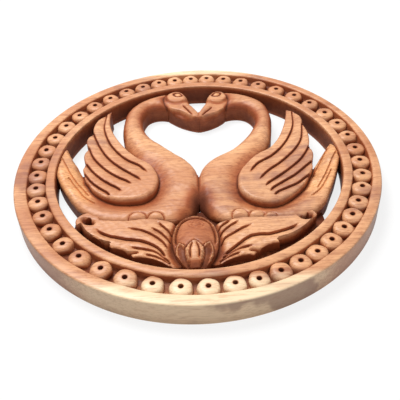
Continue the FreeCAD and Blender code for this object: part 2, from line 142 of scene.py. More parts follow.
def curve(*corners):
    """Smooth open line through points drawn on the plan."""
    points = np.array(corners, float)
    padded = np.vstack([2 * points[0] - points[1], points, 2 * points[-1] - points[-2]])
    share = np.linspace(0, 1, CURVE_STEPS, endpoint=False)[:, None]
    spans = []
    for before, start, end, after in zip(padded, padded[1:], padded[2:], padded[3:]):
        bend = 2 * before - 5 * start + 4 * end - after
        twist = -before + 3 * start - 3 * end + after
        spans.append(start + 0.5 * ((end - before) * share + bend * share**2 + twist * share**3))
    return evenly(np.vstack([*spans, points[-1:]]), CURVE_SPACING)


def spokes(turns):
    """Unit vectors at some angles."""
    return np.column_stack([np.cos(turns), np.sin(turns)])


def left_of(way):
    """Unit vectors square to some ways, on their left."""
    return np.column_stack([-way[:, 1], way[:, 0]]) / np.hypot(*way.T)[:, None]


def nearest(points, starts, ends):
    """Distance to the nearest of many short lines, its number, and the distance with minus on the right."""
    distance = np.empty(len(points))
    number = np.empty(len(points), int)
    signed = np.empty(len(points))
    span = ends - starts
    square = np.maximum((span**2).sum(axis=1), SHORTEST_SQUARE)
    for first in range(0, len(points), BATCH):
        batch = slice(first, first + BATCH)
        part = points[batch, None, :] - starts[None]
        share = np.clip((part * span).sum(axis=2) / square, 0, 1)
        off = part - share[..., None] * span
        squares = (off**2).sum(axis=2)
        best = squares.argmin(axis=1)
        rows = np.arange(len(best))
        reach = np.sqrt(squares[rows, best])
        offset = off[rows, best]
        side = span[best, 0] * offset[:, 1] - span[best, 1] * offset[:, 0]
        distance[batch] = reach
        number[batch] = best
        signed[batch] = np.where(side >= 0, reach, -reach)
    return distance, number, signed


def line_distance(points, line):
    """Distance to a line, share of its length passed, and the signed distance."""
    distance, number, signed = nearest(points, line[:-1], line[1:])
    return distance, number / (len(line) - 2), signed


def loop_distance(points, loop):
    return nearest(points, loop, np.roll(loop, -1, axis=0))[0]


def free_distance(points, loop, neighbours):
    """Distance to the stretches of an outline that no neighbour touches."""
    fine = evenly_round(loop, CHIP_SPACING)
    free = np.ones(len(fine), bool)
    for neighbour in neighbours:
        free &= loop_distance(fine, neighbour) > SEAM_REACH
    free &= np.roll(free, -1)
    return nearest(points, fine[free], np.roll(fine, -1, axis=0)[free])[0]


def inside(points, loop):
    """Whether each point lies inside a closed outline."""
    crossing = np.zeros(len(points), bool)
    for (ax, ay), (bx, by) in zip(loop, np.roll(loop, -1, axis=0)):
        if ay == by:
            continue
        spans = (points[:, 1] < ay) != (points[:, 1] < by)
        crossing ^= spans & (points[:, 0] < ax + (points[:, 1] - ay) / (by - ay) * (bx - ax))
    return crossing


PAIRED_FORMS = ("swan", "head", "wing", "leaf")
CARVED_NODES = [f"{side}_{form}" for form in PAIRED_FORMS for side in TURNS] + ["ground_web", "lotus_bud"]
OUTLINES = {node: foot_outlines(node) for node in CARVED_NODES}


def rim_of(node):
    return OUTLINES[node][0][0]


# Place on the right swan's inner edge where neck and breast run together in one fair line
FAIRING_PLACE = (20.0, 15.0)
FAIRING_REACH = 12.0
FAIRING_CORE = 7.2
FAIRING_STEP = 0.6
FAIRING_ROUNDS = 160


def faired(loop):
    """Outline with its corners near the fairing place smoothed away."""
    fine = evenly_round(loop, FAIRING_STEP)
    pull = ramp(np.hypot(*(fine - FAIRING_PLACE).T), FAIRING_REACH, FAIRING_CORE)[:, None]
    for _ in range(FAIRING_ROUNDS):
        middle = 0.5 * (np.roll(fine, 1, axis=0) + np.roll(fine, -1, axis=0))
        fine += 0.5 * pull * (middle - fine)
    return fine


OUTLINES["right_swan"][0][0] = faired(rim_of("right_swan"))


# Meshes of closed pieces
SMOOTH_ANGLE = math.radians(38)
BACK_SAWN = 0.7
# Darker value on the faces of the pockets cut into the back
POCKET_DARKENING = 0.3
# Sides of a box by its corners, which are numbered with z running fastest and x slowest
BOX_SIDES = [(0, 1, 3, 2), (4, 6, 7, 5), (0, 4, 5, 1), (2, 3, 7, 6), (0, 2, 6, 4), (1, 5, 7, 3)]


def linked(name, data):
    """New object in the scene."""
    thing = bpy.data.objects.new(name, data)
    bpy.context.scene.collection.objects.link(thing)
    return thing


# Point values of a mesh: painted shade with patina, share of sawn side, and golden tone with painted
# highlights
def tone_points(mesh, tones):
    for label, values in tones.items():
        attribute = mesh.attributes.new(label, "FLOAT", "POINT")
        attribute.data.foreach_set("value", np.asarray(values, np.float32))


def cut_out(piece, pockets):
    """Takes box-shaped pockets, given by two corners in millimetres, out of a closed mesh."""
    for low, high in pockets:
        corners = np.array(list(itertools.product(*zip(low, high))))
        pocket_mesh = bpy.data.meshes.new("pocket")
        pocket_mesh.from_pydata((corners * MM).tolist(), [], BOX_SIDES)
        even = np.ones(len(corners))
        tone_points(pocket_mesh, {"recess": POCKET_DARKENING * even, "side": BACK_SAWN * even})
        pocket = linked("pocket", pocket_mesh)
        chisel = piece.modifiers.new("pocket", "BOOLEAN")
        chisel.object = pocket
        chisel.operation = "DIFFERENCE"
        chisel.solver = "EXACT"
        shape = piece.evaluated_get(bpy.context.evaluated_depsgraph_get())
        piece.data = bpy.data.meshes.new_from_object(shape)
        piece.modifiers.clear()
        bpy.data.objects.remove(pocket)


def add_piece(name, points, faces, tones, node, body, slot, finish, pockets=()):
    """Mesh in the frame from millimetre points, with its point values of painted shade and patina, sawn side
    and golden tone, set in place of a solid.
    """
    mesh = bpy.data.meshes.new(name)
    mesh.from_pydata((np.asarray(points) * MM).tolist(), [], [list(map(int, face)) for face in faces])
    tone_points(mesh, tones)
    mesh.validate()
    piece = linked(name, mesh)
    mesh.materials.append(finish)
    cut_out(piece, pockets)
    piece.data.shade_smooth()
    piece.data.set_sharp_from_angle(angle=SMOOTH_ANGLE)
    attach(piece, body)
    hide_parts(node)


def banded(rows, count, joined=False, flipped=False):
    """Faces between rows of points that close into rings, with the last row joined to the first or not."""
    faces = []
    for row in range(rows if joined else rows - 1):
        low = row * count
        high = (row + 1) % rows * count
        for step in range(count):
            after = (step + 1) % count
            if flipped:
                faces.append((low + step, high + step, high + after, low + after))
            else:
                faces.append((low + step, low + after, high + after, high + step))
    return faces


# Carvings: a closed face, wall and foot on a solid's own outline
ROW_SPACING = 0.87 * CHIP_SPACING
RIM_CLEARING = 0.55 * CHIP_SPACING
CUT_ROWS = (-0.6, 0.0, 0.8)
CUT_CLEARING = 1.05
POINT_TOLERANCE = 1e-7
WALL_STEPS = 6
# Painted shade with patina on the carvings' walls, deeper further below the face, and a darker value on the
# foot
WALL_SHADE_AND_PATINA = 0.42
WALL_SHADE_DEPTH = 45.0
DEEPEST_WALL_SHADE = 0.8
FOOT_DARKENING = 0.35
SEAM_WIDTH = 0.5
# Straight seams where the beaks and the breasts meet: x, and the stretch in y
SEAMS = ((4.0, 0.0, PANEL_RADIUS), (1.0, -70.0, 0.0))


def straight_seamed(loop):
    """Outline at even steps, drawn straight along the seams."""
    rim = evenly_round(loop, CHIP_SPACING)
    for seam_x, seam_low, seam_high in SEAMS:
        at_seam = np.abs(rim[:, 0] - seam_x) < SEAM_WIDTH
        rim[at_seam & (rim[:, 1] > seam_low) & (rim[:, 1] < seam_high), 0] = seam_x
    return rim


def within_rims(points, rims):
    """Whether each point lies inside the outer outline and outside the holes."""
    kept = np.zeros(len(points), bool)
    for rim in rims:
        kept ^= inside(points, rim)
    return kept


def cut_rows(line, turn):
    """Points along a cut: on its upper edge, in its bottom and a little way up its slope."""
    normal = left_of(np.gradient(line, axis=0))
    return np.vstack([line + turn * offset * normal for offset in CUT_ROWS])


def face_points(rims, cuts, turn):
    """Even pattern of points inside the outlines, with rows of points along the cuts."""
    low = rims[0].min(axis=0)
    high = rims[0].max(axis=0)
    columns = np.arange(low[0], high[0], CHIP_SPACING)
    rows = np.arange(low[1], high[1], ROW_SPACING)
    grid = np.array([(x + CHIP_SPACING / 2 * (row % 2), y) for row, y in enumerate(rows) for x in columns])
    for cut in cuts:
        grid = np.vstack([grid[line_distance(grid, cut)[0] > CUT_CLEARING], cut_rows(cut, turn)])
    keep = within_rims(grid, rims)
    for rim in rims:
        keep &= loop_distance(grid, rim) > RIM_CLEARING
    return grid[keep]


def triangulated(rims, grid):
    """Points and triangles of a plan that has the outlines as its edges."""
    plan = [Vector(point) for point in np.vstack([*rims, grid])]
    edges = []
    first = 0
    for rim in rims:
        edges += [(first + step, first + (step + 1) % len(rim)) for step in range(len(rim))]
        first += len(rim)
    places, _, faces, *_ = geometry.delaunay_2d_cdt(plan, edges, [], 0, POINT_TOLERANCE)
    places = np.array([tuple(place) for place in places])
    triangles = np.array(faces)
    return places, triangles[within_rims(places[triangles].mean(axis=1), rims)]


def carve(node, relief, cuts, turn):
    """Closed carving on a solid's own outline, with its face raised by a relief function."""
    loops, foot = OUTLINES[node]
    rims = [straight_seamed(loop) for loop in loops]
    places, triangles = triangulated(rims, face_points(rims, cuts, turn))
    heights, recess, golden = relief(places)
    count = len(places)
    points = [np.column_stack([places, heights]), np.column_stack([places, np.full(count, foot)])]
    shade_and_patina = [recess, np.full(count, FOOT_DARKENING)]
    faces = [tuple(triangle) for triangle in triangles]
    faces += [tuple(count + corner for corner in reversed(triangle)) for triangle in triangles]
    steps = {(a, b) for triangle in triangles for a, b in zip(triangle, np.roll(triangle, -1))}
    wall = [(a, b) for a, b in steps if (b, a) not in steps]
    corners = sorted({corner for step in wall for corner in step})
    place_of = {corner: place for place, corner in enumerate(corners)}
    levels = [corners]
    total = 2 * count
    for level in range(1, WALL_STEPS):
        share = level / WALL_STEPS
        drop = heights[corners] * (1 - share) + foot * share
        points.append(np.column_stack([places[corners], drop]))
        # Painted shade with patina, deeper down the wall
        shade_and_patina.append(np.clip(WALL_SHADE_AND_PATINA + (FACE - drop) / WALL_SHADE_DEPTH, 0, DEEPEST_WALL_SHADE))
        levels.append([total + place for place in range(len(corners))])
        total += len(corners)
    levels.append([count + corner for corner in corners])
    for a, b in wall:
        start, end = place_of[a], place_of[b]
        for upper, lower in zip(levels, levels[1:]):
            faces.append((upper[end], upper[start], lower[start], lower[end]))
    side = np.zeros(total)
    side[count : 2 * count] = BACK_SAWN
    warm = np.zeros(total)
    warm[:count] = golden
    return np.vstack(points), faces, {"recess": np.concatenate(shade_and_patina), "side": side, "golden": warm}


# Work of the carver's tools on a face
RIPPLE_HEIGHT = 0.10
BLEND_SOFTNESS = 30.0
STOP_WALL = 0.6
# Painted shade in the cuts: a dark line along the wall, a lighter shade up the slope, and a dark line in
# grooves
STOP_SHADE_WIDTH = 0.7
SLOPE_HOLLOW = 1.6
SLOPE_SHADE = 0.12
GROOVE_END = 0.2
GROOVE_SHADE_SHARE = 0.9


class Face:
    """A face while it is carved: its height and its painted shade with patina at the points of its plan."""

    def __init__(self, height, recess):
        self.height = height
        self.recess = recess

    def darken(self, shade_and_patina):
        self.recess = np.maximum(self.recess, shade_and_patina)

    def cut(self, fall, shade_and_patina):
        self.height = self.height - fall
        self.darken(shade_and_patina)


def wavering(along, across, waves, sway, sway_waves):
    return np.sin(waves * along + sway * np.sin(sway_waves * across))


def ripple(points):
    """Shallow waves that a gouge leaves on a worked surface."""
    x, y = points.T
    lengthways = wavering(x, y, waves=0.9, sway=1.7, sway_waves=0.31)
    return RIPPLE_HEIGHT * lengthways * wavering(y, x, waves=0.8, sway=1.3, sway_waves=0.27)


def rounded(distance, radius, drop):
    """How far a rounded-over edge falls below the crown."""
    return drop * (1 - domed(1 - np.clip(distance / radius, 0, 1)))


def both_sides(*stations):
    """Stations of each side, from rows of left x, y, right x, y and the values that both share."""
    return {"left": np.delete(stations, [2, 3], axis=1), "right": np.delete(stations, [0, 1], axis=1)}


def blended(points, stations):
    """Values that flow from station to station."""
    squares = ((points[:, None, :] - stations[None, :, :2]) ** 2).sum(axis=2)
    weights = 1 / (squares + BLEND_SOFTNESS) ** 2
    return (weights @ stations[:, 2:] / weights.sum(axis=1, keepdims=True)).T


def turned(points, centre, degrees):
    """Places of points from a centre, along and across axes that are turned by some degrees."""
    angle = math.radians(degrees)
    x, y = (points - centre).T
    return x * math.cos(angle) + y * math.sin(angle), y * math.cos(angle) - x * math.sin(angle)


def shingled(points, line, side, depth, width, shade_and_patina=1.0, fade_in=0.1, fade_out=0.0):
    """Fall and painted shade with patina of a stop cut: a steep wall on one side, and on the other a slope
    that rises away.
    """
    distance, share, signed = line_distance(points, line)
    signed = signed * side
    rise = np.clip(1 - signed / width, 0, 1)
    slope = np.where(signed >= 0, rise**SLOPE_HOLLOW, np.clip(1 + signed / STOP_WALL, 0, 1))
    fade = ramp(share, 0, fade_in)
    if fade_out:
        fade = fade * ramp(share, 1, 1 - fade_out)
    fade[((share <= 0) | (share >= 1)) & (distance > STOP_WALL)] = 0
    tone = np.clip(bell(signed, STOP_SHADE_WIDTH) + SLOPE_SHADE * rise * (signed > 0), 0, 1)
    return depth * slope * fade, shade_and_patina * tone * fade


def scored(points, line, depth, width, shade_and_patina=1.0, open_start=False):
    """Fall and painted shade with patina of a plain groove that runs out at its ends, or starts at full
    depth on an edge.
    """
    distance, share, _ = line_distance(points, line)
    fade = ramp(share, 1, 1 - GROOVE_END)
    if not open_start:
        fade = fade * ramp(share, 0, GROOVE_END)
    return bell(distance, width, depth) * fade, bell(distance, GROOVE_SHADE_SHARE * width, shade_and_patina) * fade


# Swans from nape to tail: left x, y, right x, y, crown level, fall of the rounded edge and its width
SWAN_FORM = both_sides(
    (-30, 101, 32, 101, 19.6, 7, 10),
    (-50, 92, 55, 93, 19.5, 7.5, 10.5),
    (-57, 72, 62, 72, 19.3, 7.5, 11),
    (-54, 50, 60, 50, 18.8, 7.5, 12),
    (-42, 28, 50, 26, 18.0, 6, 12),
    (-24, 8, 30, 4, 17.2, 4.5, 10),
    (-8, -14, 12, -16, 16.4, 4, 9),
    (-10, -38, 12, -40, 15.0, 5.5, 12),
    (-36, -48, 38, -51, 14.4, 6, 11),
    (-64, -46, 66, -49, 14.4, 5, 9),
    (-88, -34, 92, -36, 15.2, 4, 7),
    (-100, -10, 103, -12, 17, 3, 5),
    (-110, 14, 113, 8, 19, 2.5, 3.5),
)
TAIL_LINES = {
    "left": [
        curve((-88, -16), (-96, -2), (-101, 8), (-105, 17), (-109, 27)),
        curve((-86, -28), (-97, -15), (-105, -2), (-110, 8), (-114, 17)),
        curve((-80, -38), (-90, -30), (-99, -18), (-106, -6)),
    ],
    "right": [
        curve((93, -20), (99, -8), (105, 2), (110, 11), (114, 18)),
        curve((94, -34), (103, -20), (109, -8), (114, 2), (118, 9)),
        curve((88, -42), (97, -34), (105, -22), (110, -12)),
    ],
}
# Scallops below the swans: x, y and radius
SCALLOPS = {
    "left": [(-47.5, -57, 6.5), (-33.5, -57.5, 6.0)],
    "right": [(32, -58.5, 6.0), (45, -59.5, 6.0), (55, -61, 4.8)],
}
SCALLOP_RISE = 2.0
SCALLOP_GROOVE = 1.08
SCALLOP_LINE = 1.05
# Share of the painted shade and patina that stays on a scallop's raised lobe
SCALLOP_SHADE_KEPT = 0.4
MEETING_X = 1.0
BUD_PIT = (-2.0, -60.0)
NECK_GLOW = (-38.0, 28.0)
# Stretch in y over which the crease between head and neck comes in
CREASE_STRETCH = (109, 103)
NECK_SHADE = 0.42
EDGE_SHADE = 0.16


def swan_edge(points, side):
    """Distance to the free edge of a swan, head and neck taken together."""
    swan, head = rim_of(f"{side}_swan"), rim_of(f"{side}_head")
    others = [rim_of(f"{side}_wing"), rim_of("right_swan" if side == "left" else "left_swan")]
    along_swan = free_distance(points, swan, [head, *others])
    return np.minimum(along_swan, free_distance(points, head, [swan]))


def add_crease(face, points, neighbour, shade_and_patina, shade):
    """Crease where head and neck meet, with painted shade in it and beside it."""
    beside = loop_distance(points, rim_of(neighbour))
    fade = ramp(points[:, 1], *CREASE_STRETCH)
    tone = bell(beside, width=1.6, peak=shade_and_patina) + bell(beside, width=8, peak=shade)
    face.cut(fade * bell(beside, width=2.2, peak=1.2), fade * tone)


def swan_relief(points, side, turn):
    x, y = points.T
    crown, drop, radius = blended(points, SWAN_FORM[side])
    edge = swan_edge(points, side)
    neck_shade = NECK_SHADE * ramp(edge, start=9, full=0.5) * ramp(y, start=15, full=60)
    edge_shade = EDGE_SHADE * ramp(edge, start=4, full=0)
    face = Face(crown - rounded(edge, radius, drop) + ripple(points), neck_shade + edge_shade)
    tail = ramp(turn * x, start=-76, full=-92) * ramp(y, start=-46, full=-26)
    beside_wing = loop_distance(points, rim_of(f"{side}_wing"))
    # Hollow beside the wing, with painted shade in it and a wider painted shade over the swan beside it
    face.cut(bell(beside_wing, width=8, peak=3.6), bell(beside_wing, width=2.2, peak=0.9))
    face.darken(bell(beside_wing, width=11, peak=0.42) * (1 - tail))
    add_crease(face, points, f"{side}_head", shade_and_patina=0.5, shade=0.4)
    # Groove where the breasts meet, with painted shade and patina in it and down the V below
    meeting = np.abs(x - MEETING_X)
    below = ramp(y, start=2, full=-10)
    seam_fall = bell(meeting, width=3.5, peak=2.2) + rounded(meeting, radius=14, drop=1.6)
    seam_shade = bell(meeting, width=1.3, peak=0.55) + bell(meeting, width=7, peak=0.2)
    face.cut(below * seam_fall, below * seam_shade)
    face.darken(ramp(y, start=-12, full=-42) * bell(meeting, width=10.5))
    # Pit above the bud, sunk and darkened with painted shade
    pit = np.hypot(*(points - BUD_PIT).T)
    face.cut(bell(pit, width=11, peak=6.5), bell(pit, width=15))
    # Raised scallops, with painted shade in their grooves and less of it on their lobes
    for scallop_x, scallop_y, reach in SCALLOPS[side]:
        lobe = np.hypot(x - scallop_x, y - scallop_y) / reach
        kept_shade = SCALLOP_SHADE_KEPT * face.recess
        groove = bell(lobe - SCALLOP_GROOVE, width=0.14, peak=0.8)
        face.cut(groove - SCALLOP_RISE * domed(lobe), bell(lobe - SCALLOP_LINE, width=0.16, peak=0.6))
        face.recess = np.where(lobe < 1, kept_shade, face.recess)
    # Feather lines of the tail, with painted shade in them
    for line in TAIL_LINES[side]:
        face.cut(*shingled(points, line, turn, depth=1.5, width=7, shade_and_patina=0.3))
    # Painted highlight: a golden glow where the neck's crest is lit, kept off the painted shade; the tail's
    # golden wood is its own colour
    glow = bell(turn * x - NECK_GLOW[0], width=22) * bell(y - NECK_GLOW[1], width=26, peak=0.4)
    return face.height, face.recess, np.maximum(tail, glow * (1 - face.recess))


# Heads: a round skull, given by x, y and half sizes, a flat beak with its mouth line, and the eye
SKULLS = {"left": (-15.8, 103.2, 10.2, 9.8), "right": (21.8, 100.7, 9.8, 9.8)}
# Ways in which the beaks point from the skulls
BEAK_WAYS = {"left": (0.5, -0.87), "right": (-0.5, -0.87)}
BEAK_RIDGES = {
    "left": curve((-11, 95), (-7.5, 89), (-4, 82.5), (-0.5, 76), (3, 70.5)),
    "right": curve((17, 92), (13, 85.5), (9, 79), (6.3, 74), (4.6, 70.5)),
}
MOUTHS = {
    "left": curve((-11.5, 91.5), (-8.2, 86), (-4.8, 80), (-1.2, 73)),
    "right": curve((18, 86.5), (14, 81.5), (9.8, 76.5), (6.2, 71)),
}
CHINS = {
    "left": curve((-26, 89), (-19, 86), (-13, 83.4), (-8, 79.4), (-2, 73), (2, 69.5)),
    "right": curve((30, 86), (24, 80), (18, 77.6), (12, 74.6), (8, 72), (5, 69.5)),
}
HEAD_CUTS = {side: [MOUTHS[side], CHINS[side]] for side in TURNS}
# Eyes: x, y and tilt in degrees
EYES = {"left": (-14.8, 105.0, -25), "right": (21.8, 102.6, 25)}
EYE_HALF = (4.1, 3.0)
EYE_POWER = 1.5
EYE_BALL = 0.55
LID_LINE = 1.1
BROW_LINE = 2.0
HEAD_TOP = FACE + 0.2
HEAD_RIPPLE = 0.5
BEAK_LEVEL = FACE - 1.9
BEAK_FALL = 0.8
SKULL_CORE = 0.01
SKULL_RISE = 2.1
SKULL_GROOVE = 1.07
SKULL_LINE = 1.05
# Share of painted shade kept on the skull's dome, and depth and painted shade of the cut under the chin
SKULL_SHADE_KEPT = 0.5
CHIN_DEPTH = 5.0
CHIN_SHADE = 0.62
HEAD_SHADE = 0.5
BEAK_SHADE = 0.35


def head_relief(points, side, turn):
    skull_x, skull_y, skull_wide, skull_long = SKULLS[side]
    eye_x, eye_y, eye_tilt = EYES[side]
    y = points[:, 1]
    crown, drop, radius = blended(points, SWAN_FORM[side])
    edge = swan_edge(points, side)
    on_beak = ramp(y, start=97, full=90)
    neck = crown - rounded(edge, radius, drop)
    ridge = line_distance(points, BEAK_RIDGES[side])[0]
    beak = BEAK_LEVEL - BEAK_FALL * ramp(y, start=92, full=72)
    beak += bell(ridge, width=3.2, peak=1.1) - rounded(edge, radius=1.8, drop=1.0)
    head_shade = HEAD_SHADE * ramp(edge, start=6, full=0)
    beak_shade = BEAK_SHADE * ramp(edge, start=1.5, full=0)
    height = neck * (1 - on_beak) + beak * on_beak + HEAD_RIPPLE * ripple(points)
    face = Face(height, head_shade * (1 - on_beak) + beak_shade * on_beak)
    off = (points - (skull_x, skull_y)) / (skull_wide, skull_long)
    skull = np.hypot(*off.T)
    behind = ramp(off @ BEAK_WAYS[side] / np.maximum(skull, SKULL_CORE), start=0.45, full=-0.35)
    groove = bell(skull - SKULL_GROOVE, width=0.16, peak=0.5 + 0.4 * behind)
    face.height = np.minimum(face.height + SKULL_RISE * domed(skull) - groove, HEAD_TOP)
    # Skull's dome lighter, with painted shade in the groove round it, deepest behind
    face.recess = np.where(skull < 1, SKULL_SHADE_KEPT * face.recess, face.recess)
    face.darken(bell(skull - SKULL_LINE, width=0.2, peak=0.4 + 0.3 * behind))
    # Cut under the chin, with painted shade in it
    past_chin = ramp(turn * line_distance(points, CHINS[side])[2], start=0.4, full=-2.4)
    under = past_chin * ramp(y, start=98, full=92)
    face.cut(CHIN_DEPTH * under, CHIN_SHADE * under)
    add_crease(face, points, f"{side}_swan", shade_and_patina=0.65, shade=0)
    # Mouth line and eyelid groove, with painted shade in them
    face.cut(*scored(points, MOUTHS[side], depth=1.3, width=0.75, shade_and_patina=0.9))
    along, across = turned(points, (eye_x, eye_y), eye_tilt)
    lid = np.abs(along / EYE_HALF[0]) ** EYE_POWER + np.abs(across / EYE_HALF[1]) ** EYE_POWER
    raised = bell(lid, width=0.5, peak=0.6) + bell(lid - BROW_LINE, width=0.4, peak=0.4)
    face.cut(bell(lid - LID_LINE, width=0.35, peak=1.1) - raised, bell(lid - LID_LINE, width=0.42))
    # Painted highlight on the eyeball, which is left without painted shade
    return face.height, np.where(lid < EYE_BALL, 0, face.recess), bell(lid, width=0.6)


# Wings: stop cuts between the feathers, from the shoulder to the tips
FEATHER_CUTS = {
    "left": [
        curve(
            (-39.5, -9.5), (-42, -5), (-48, 2.5), (-56, 8.5), (-62.5, 15),
            (-69, 24), (-74.5, 34), (-79, 47), (-81.5, 60), (-80.5, 78),
        ),
        curve(
            (-44.5, -19.5), (-48, -13.5), (-55, -7), (-63, 0), (-71, 9),
            (-78, 19.5), (-83.5, 31), (-88, 43), (-90.2, 50.2),
        ),
        curve((-52, -22.5), (-57, -16.5), (-65, -11), (-74, -3), (-82, 7), (-88, 17), (-92.4, 29.5)),
        curve((-60, -29.5), (-64.5, -24), (-71.5, -18.5), (-79.5, -11.5), (-87, -2), (-92.4, 7.2)),
        curve((-69, -33.5), (-73.5, -28), (-80.5, -22), (-87, -15), (-92.5, -5.8)),
    ],
    "right": [
        curve(
            (42.6, -16.5), (45.5, -9), (52, -1), (62, 6), (71, 15.5),
            (78, 26), (84, 39), (87.5, 51.5), (88.8, 69),
        ),
        curve((49, -25.5), (52.5, -19), (58.5, -12), (69, -3), (79, 8), (87, 19), (92, 31), (95.4, 51)),
        curve((53, -33), (57, -27), (65, -20.5), (75, -12), (85, -1.6), (91.5, 8), (96.4, 17.6)),
        curve((56.4, -38.5), (60.5, -32.5), (70, -25.5), (80, -18.5), (89, -9.5), (95.4, -3)),
        curve((59, -43), (63.5, -37.5), (72, -33), (80, -29), (86, -24), (90.9, -19.8)),
    ],
}
# Wings: left x, y, right x, y, crown level, fall of the rounded edge and its width
WING_FORM = both_sides(
    (-50, -15, 50, -25, 18.6, 3.2, 3.6),
    (-60, 8, 64, 0, 19.1, 1.8, 2.4),
    (-78, 40, 84, 36, 19.5, 1.0, 1.5),
    (-80, 75, 86, 66, 19.7, 0.8, 1.2),
    (-88, 0, 92, -6, 19.0, 1.0, 1.5),
    (-70, -32, 66, -42, 17.8, 3.2, 3.6),
)
WING_SHADE = 0.3


def wing_relief(points, side, turn):
    crown, drop, radius = blended(points, WING_FORM[side])
    edge = loop_distance(points, rim_of(f"{side}_wing"))
    height = crown - rounded(edge, radius, drop) + ripple(points)
    face = Face(height, WING_SHADE * ramp(edge, start=1.6, full=0))
    # Stop cuts between the feathers, with painted shade in them
    cuts = [shingled(points, line, turn, depth=1.9, width=6.5) for line in FEATHER_CUTS[side]]
    face.cut(*np.max(cuts, axis=0))
    return face.height, face.recess, 0


# Lotus bud: an egg behind a raised bead, with petals at its foot
BUD_CENTRE = (-3.6, -86.0)
BUD_HALF = (18.5, 28.0)
BUD_TOP = FACE - 0.4
BUD_DOME = 9.5
BUD_RIPPLE = 0.5
# Darker all over the egg, with painted shade towards its edge
EGG_DARKENING = 0.37
EGG_SHADE = 0.3
BUD_TIP = (-2.6, -70.5)
TIP_RINGS = (3.4, 6.0)
TIP_FLATNESS = 1.3
BEAD_INSET = 0.9
BEAD_RISE = 2.4
# Less painted shade and patina on the raised bead, and painted shade in the groove inside it
BEAD_SHADE_LIFTED = 0.7
BEAD_GROOVE = 2.7
BEAD_GROOVE_DEPTH = 1.4
BEAD_GROOVE_SHADE = 0.95
# Lower and darker towards the bottom of the bud
BASE_DEPTH = 0.5
BASE_DARKENING = 0.66
# Petals: x, y, half width, half length, tilt in degrees, and how far the inside is hollowed
PETALS = [
    (-13.4, -99.0, 4.6, 10.0, 14, 1.0),
    (5.0, -99.0, 4.6, 10.0, -14, 1.0),
    (-4.2, -98.5, 7.0, 10.0, 0, 0.0),
]
PETAL_VEINS = [
    curve((-4.8, -90), (-6.8, -94.5), (-7.6, -99.5), (-6.9, -106)),
    curve((-3.6, -90), (-1.6, -94.5), (-0.8, -99.5), (-1.5, -106)),
]
# A petal's own measure is nought on its middle line and one on its edge
PETAL_FACE = 0.95
PETAL_HOLLOW = 1.6
# Painted shade on a petal's face, deeper in its hollow
PETAL_SHADE = 0.12
PETAL_HOLLOW_SHADE = 0.6
PETAL_GROOVE = 1.1
PETAL_LINE = 1.08
PETAL_TAPER = 0.3
MOST_TAPER = 0.6


def add_petal(face, points, petal_x, petal_y, half_width, half_length, tilt, hollowed):
    across, along = turned(points, (petal_x, petal_y), tilt)
    along = along / half_length
    taper = np.where(along > 0, 0, np.minimum(PETAL_TAPER * along**2, MOST_TAPER))
    measure = np.abs(across) / half_width / (1 - taper) + np.maximum(along, 0) ** 2
    hollow = hollowed * ramp(measure, start=0.74, full=0.5)
    groove = bell(measure - PETAL_GROOVE, width=0.14, peak=0.6)
    fall = PETAL_HOLLOW * hollow + groove - ramp(measure, start=1.05, full=0.8)
    face.cut(fall, bell(measure - PETAL_LINE, width=0.15, peak=0.9))
    face.recess = np.where(measure < PETAL_FACE, PETAL_SHADE + PETAL_HOLLOW_SHADE * hollow, face.recess)


def bud_relief(points):
    x, y = points.T
    edge = loop_distance(points, rim_of("lotus_bud"))
    egg = domed(np.hypot((x - BUD_CENTRE[0]) / BUD_HALF[0], (y - BUD_CENTRE[1]) / BUD_HALF[1]))
    height = BUD_TOP - BUD_DOME * (1 - egg) + BUD_RIPPLE * ripple(points)
    face = Face(height, EGG_DARKENING + EGG_SHADE * ramp(edge, start=2.0, full=0))
    upper = ramp(y, start=-93, full=-87)
    bead = upper * bell(edge - BEAD_INSET, width=0.8)
    face.recess = face.recess * (1 - BEAD_SHADE_LIFTED * bead)
    groove = upper * bell(edge - BEAD_GROOVE, width=0.8)
    face.cut(BEAD_GROOVE_DEPTH * groove - BEAD_RISE * bead, BEAD_GROOVE_SHADE * groove)
    tip = np.hypot(x - BUD_TIP[0], TIP_FLATNESS * (y - BUD_TIP[1]))
    # Rings at the tip, with painted shade in them
    for ring in TIP_RINGS:
        face.cut(bell(tip - ring, width=0.6, peak=0.4), bell(tip - ring, width=0.6, peak=0.58))
    for petal in PETALS:
        add_petal(face, points, *petal)
    for line in PETAL_VEINS:
        face.cut(*scored(points, line, depth=1.3, width=0.75))
    base = ramp(y, start=-104, full=-109)
    face.cut(BASE_DEPTH * base, BASE_DARKENING * base)
    return face.height, face.recess, 0


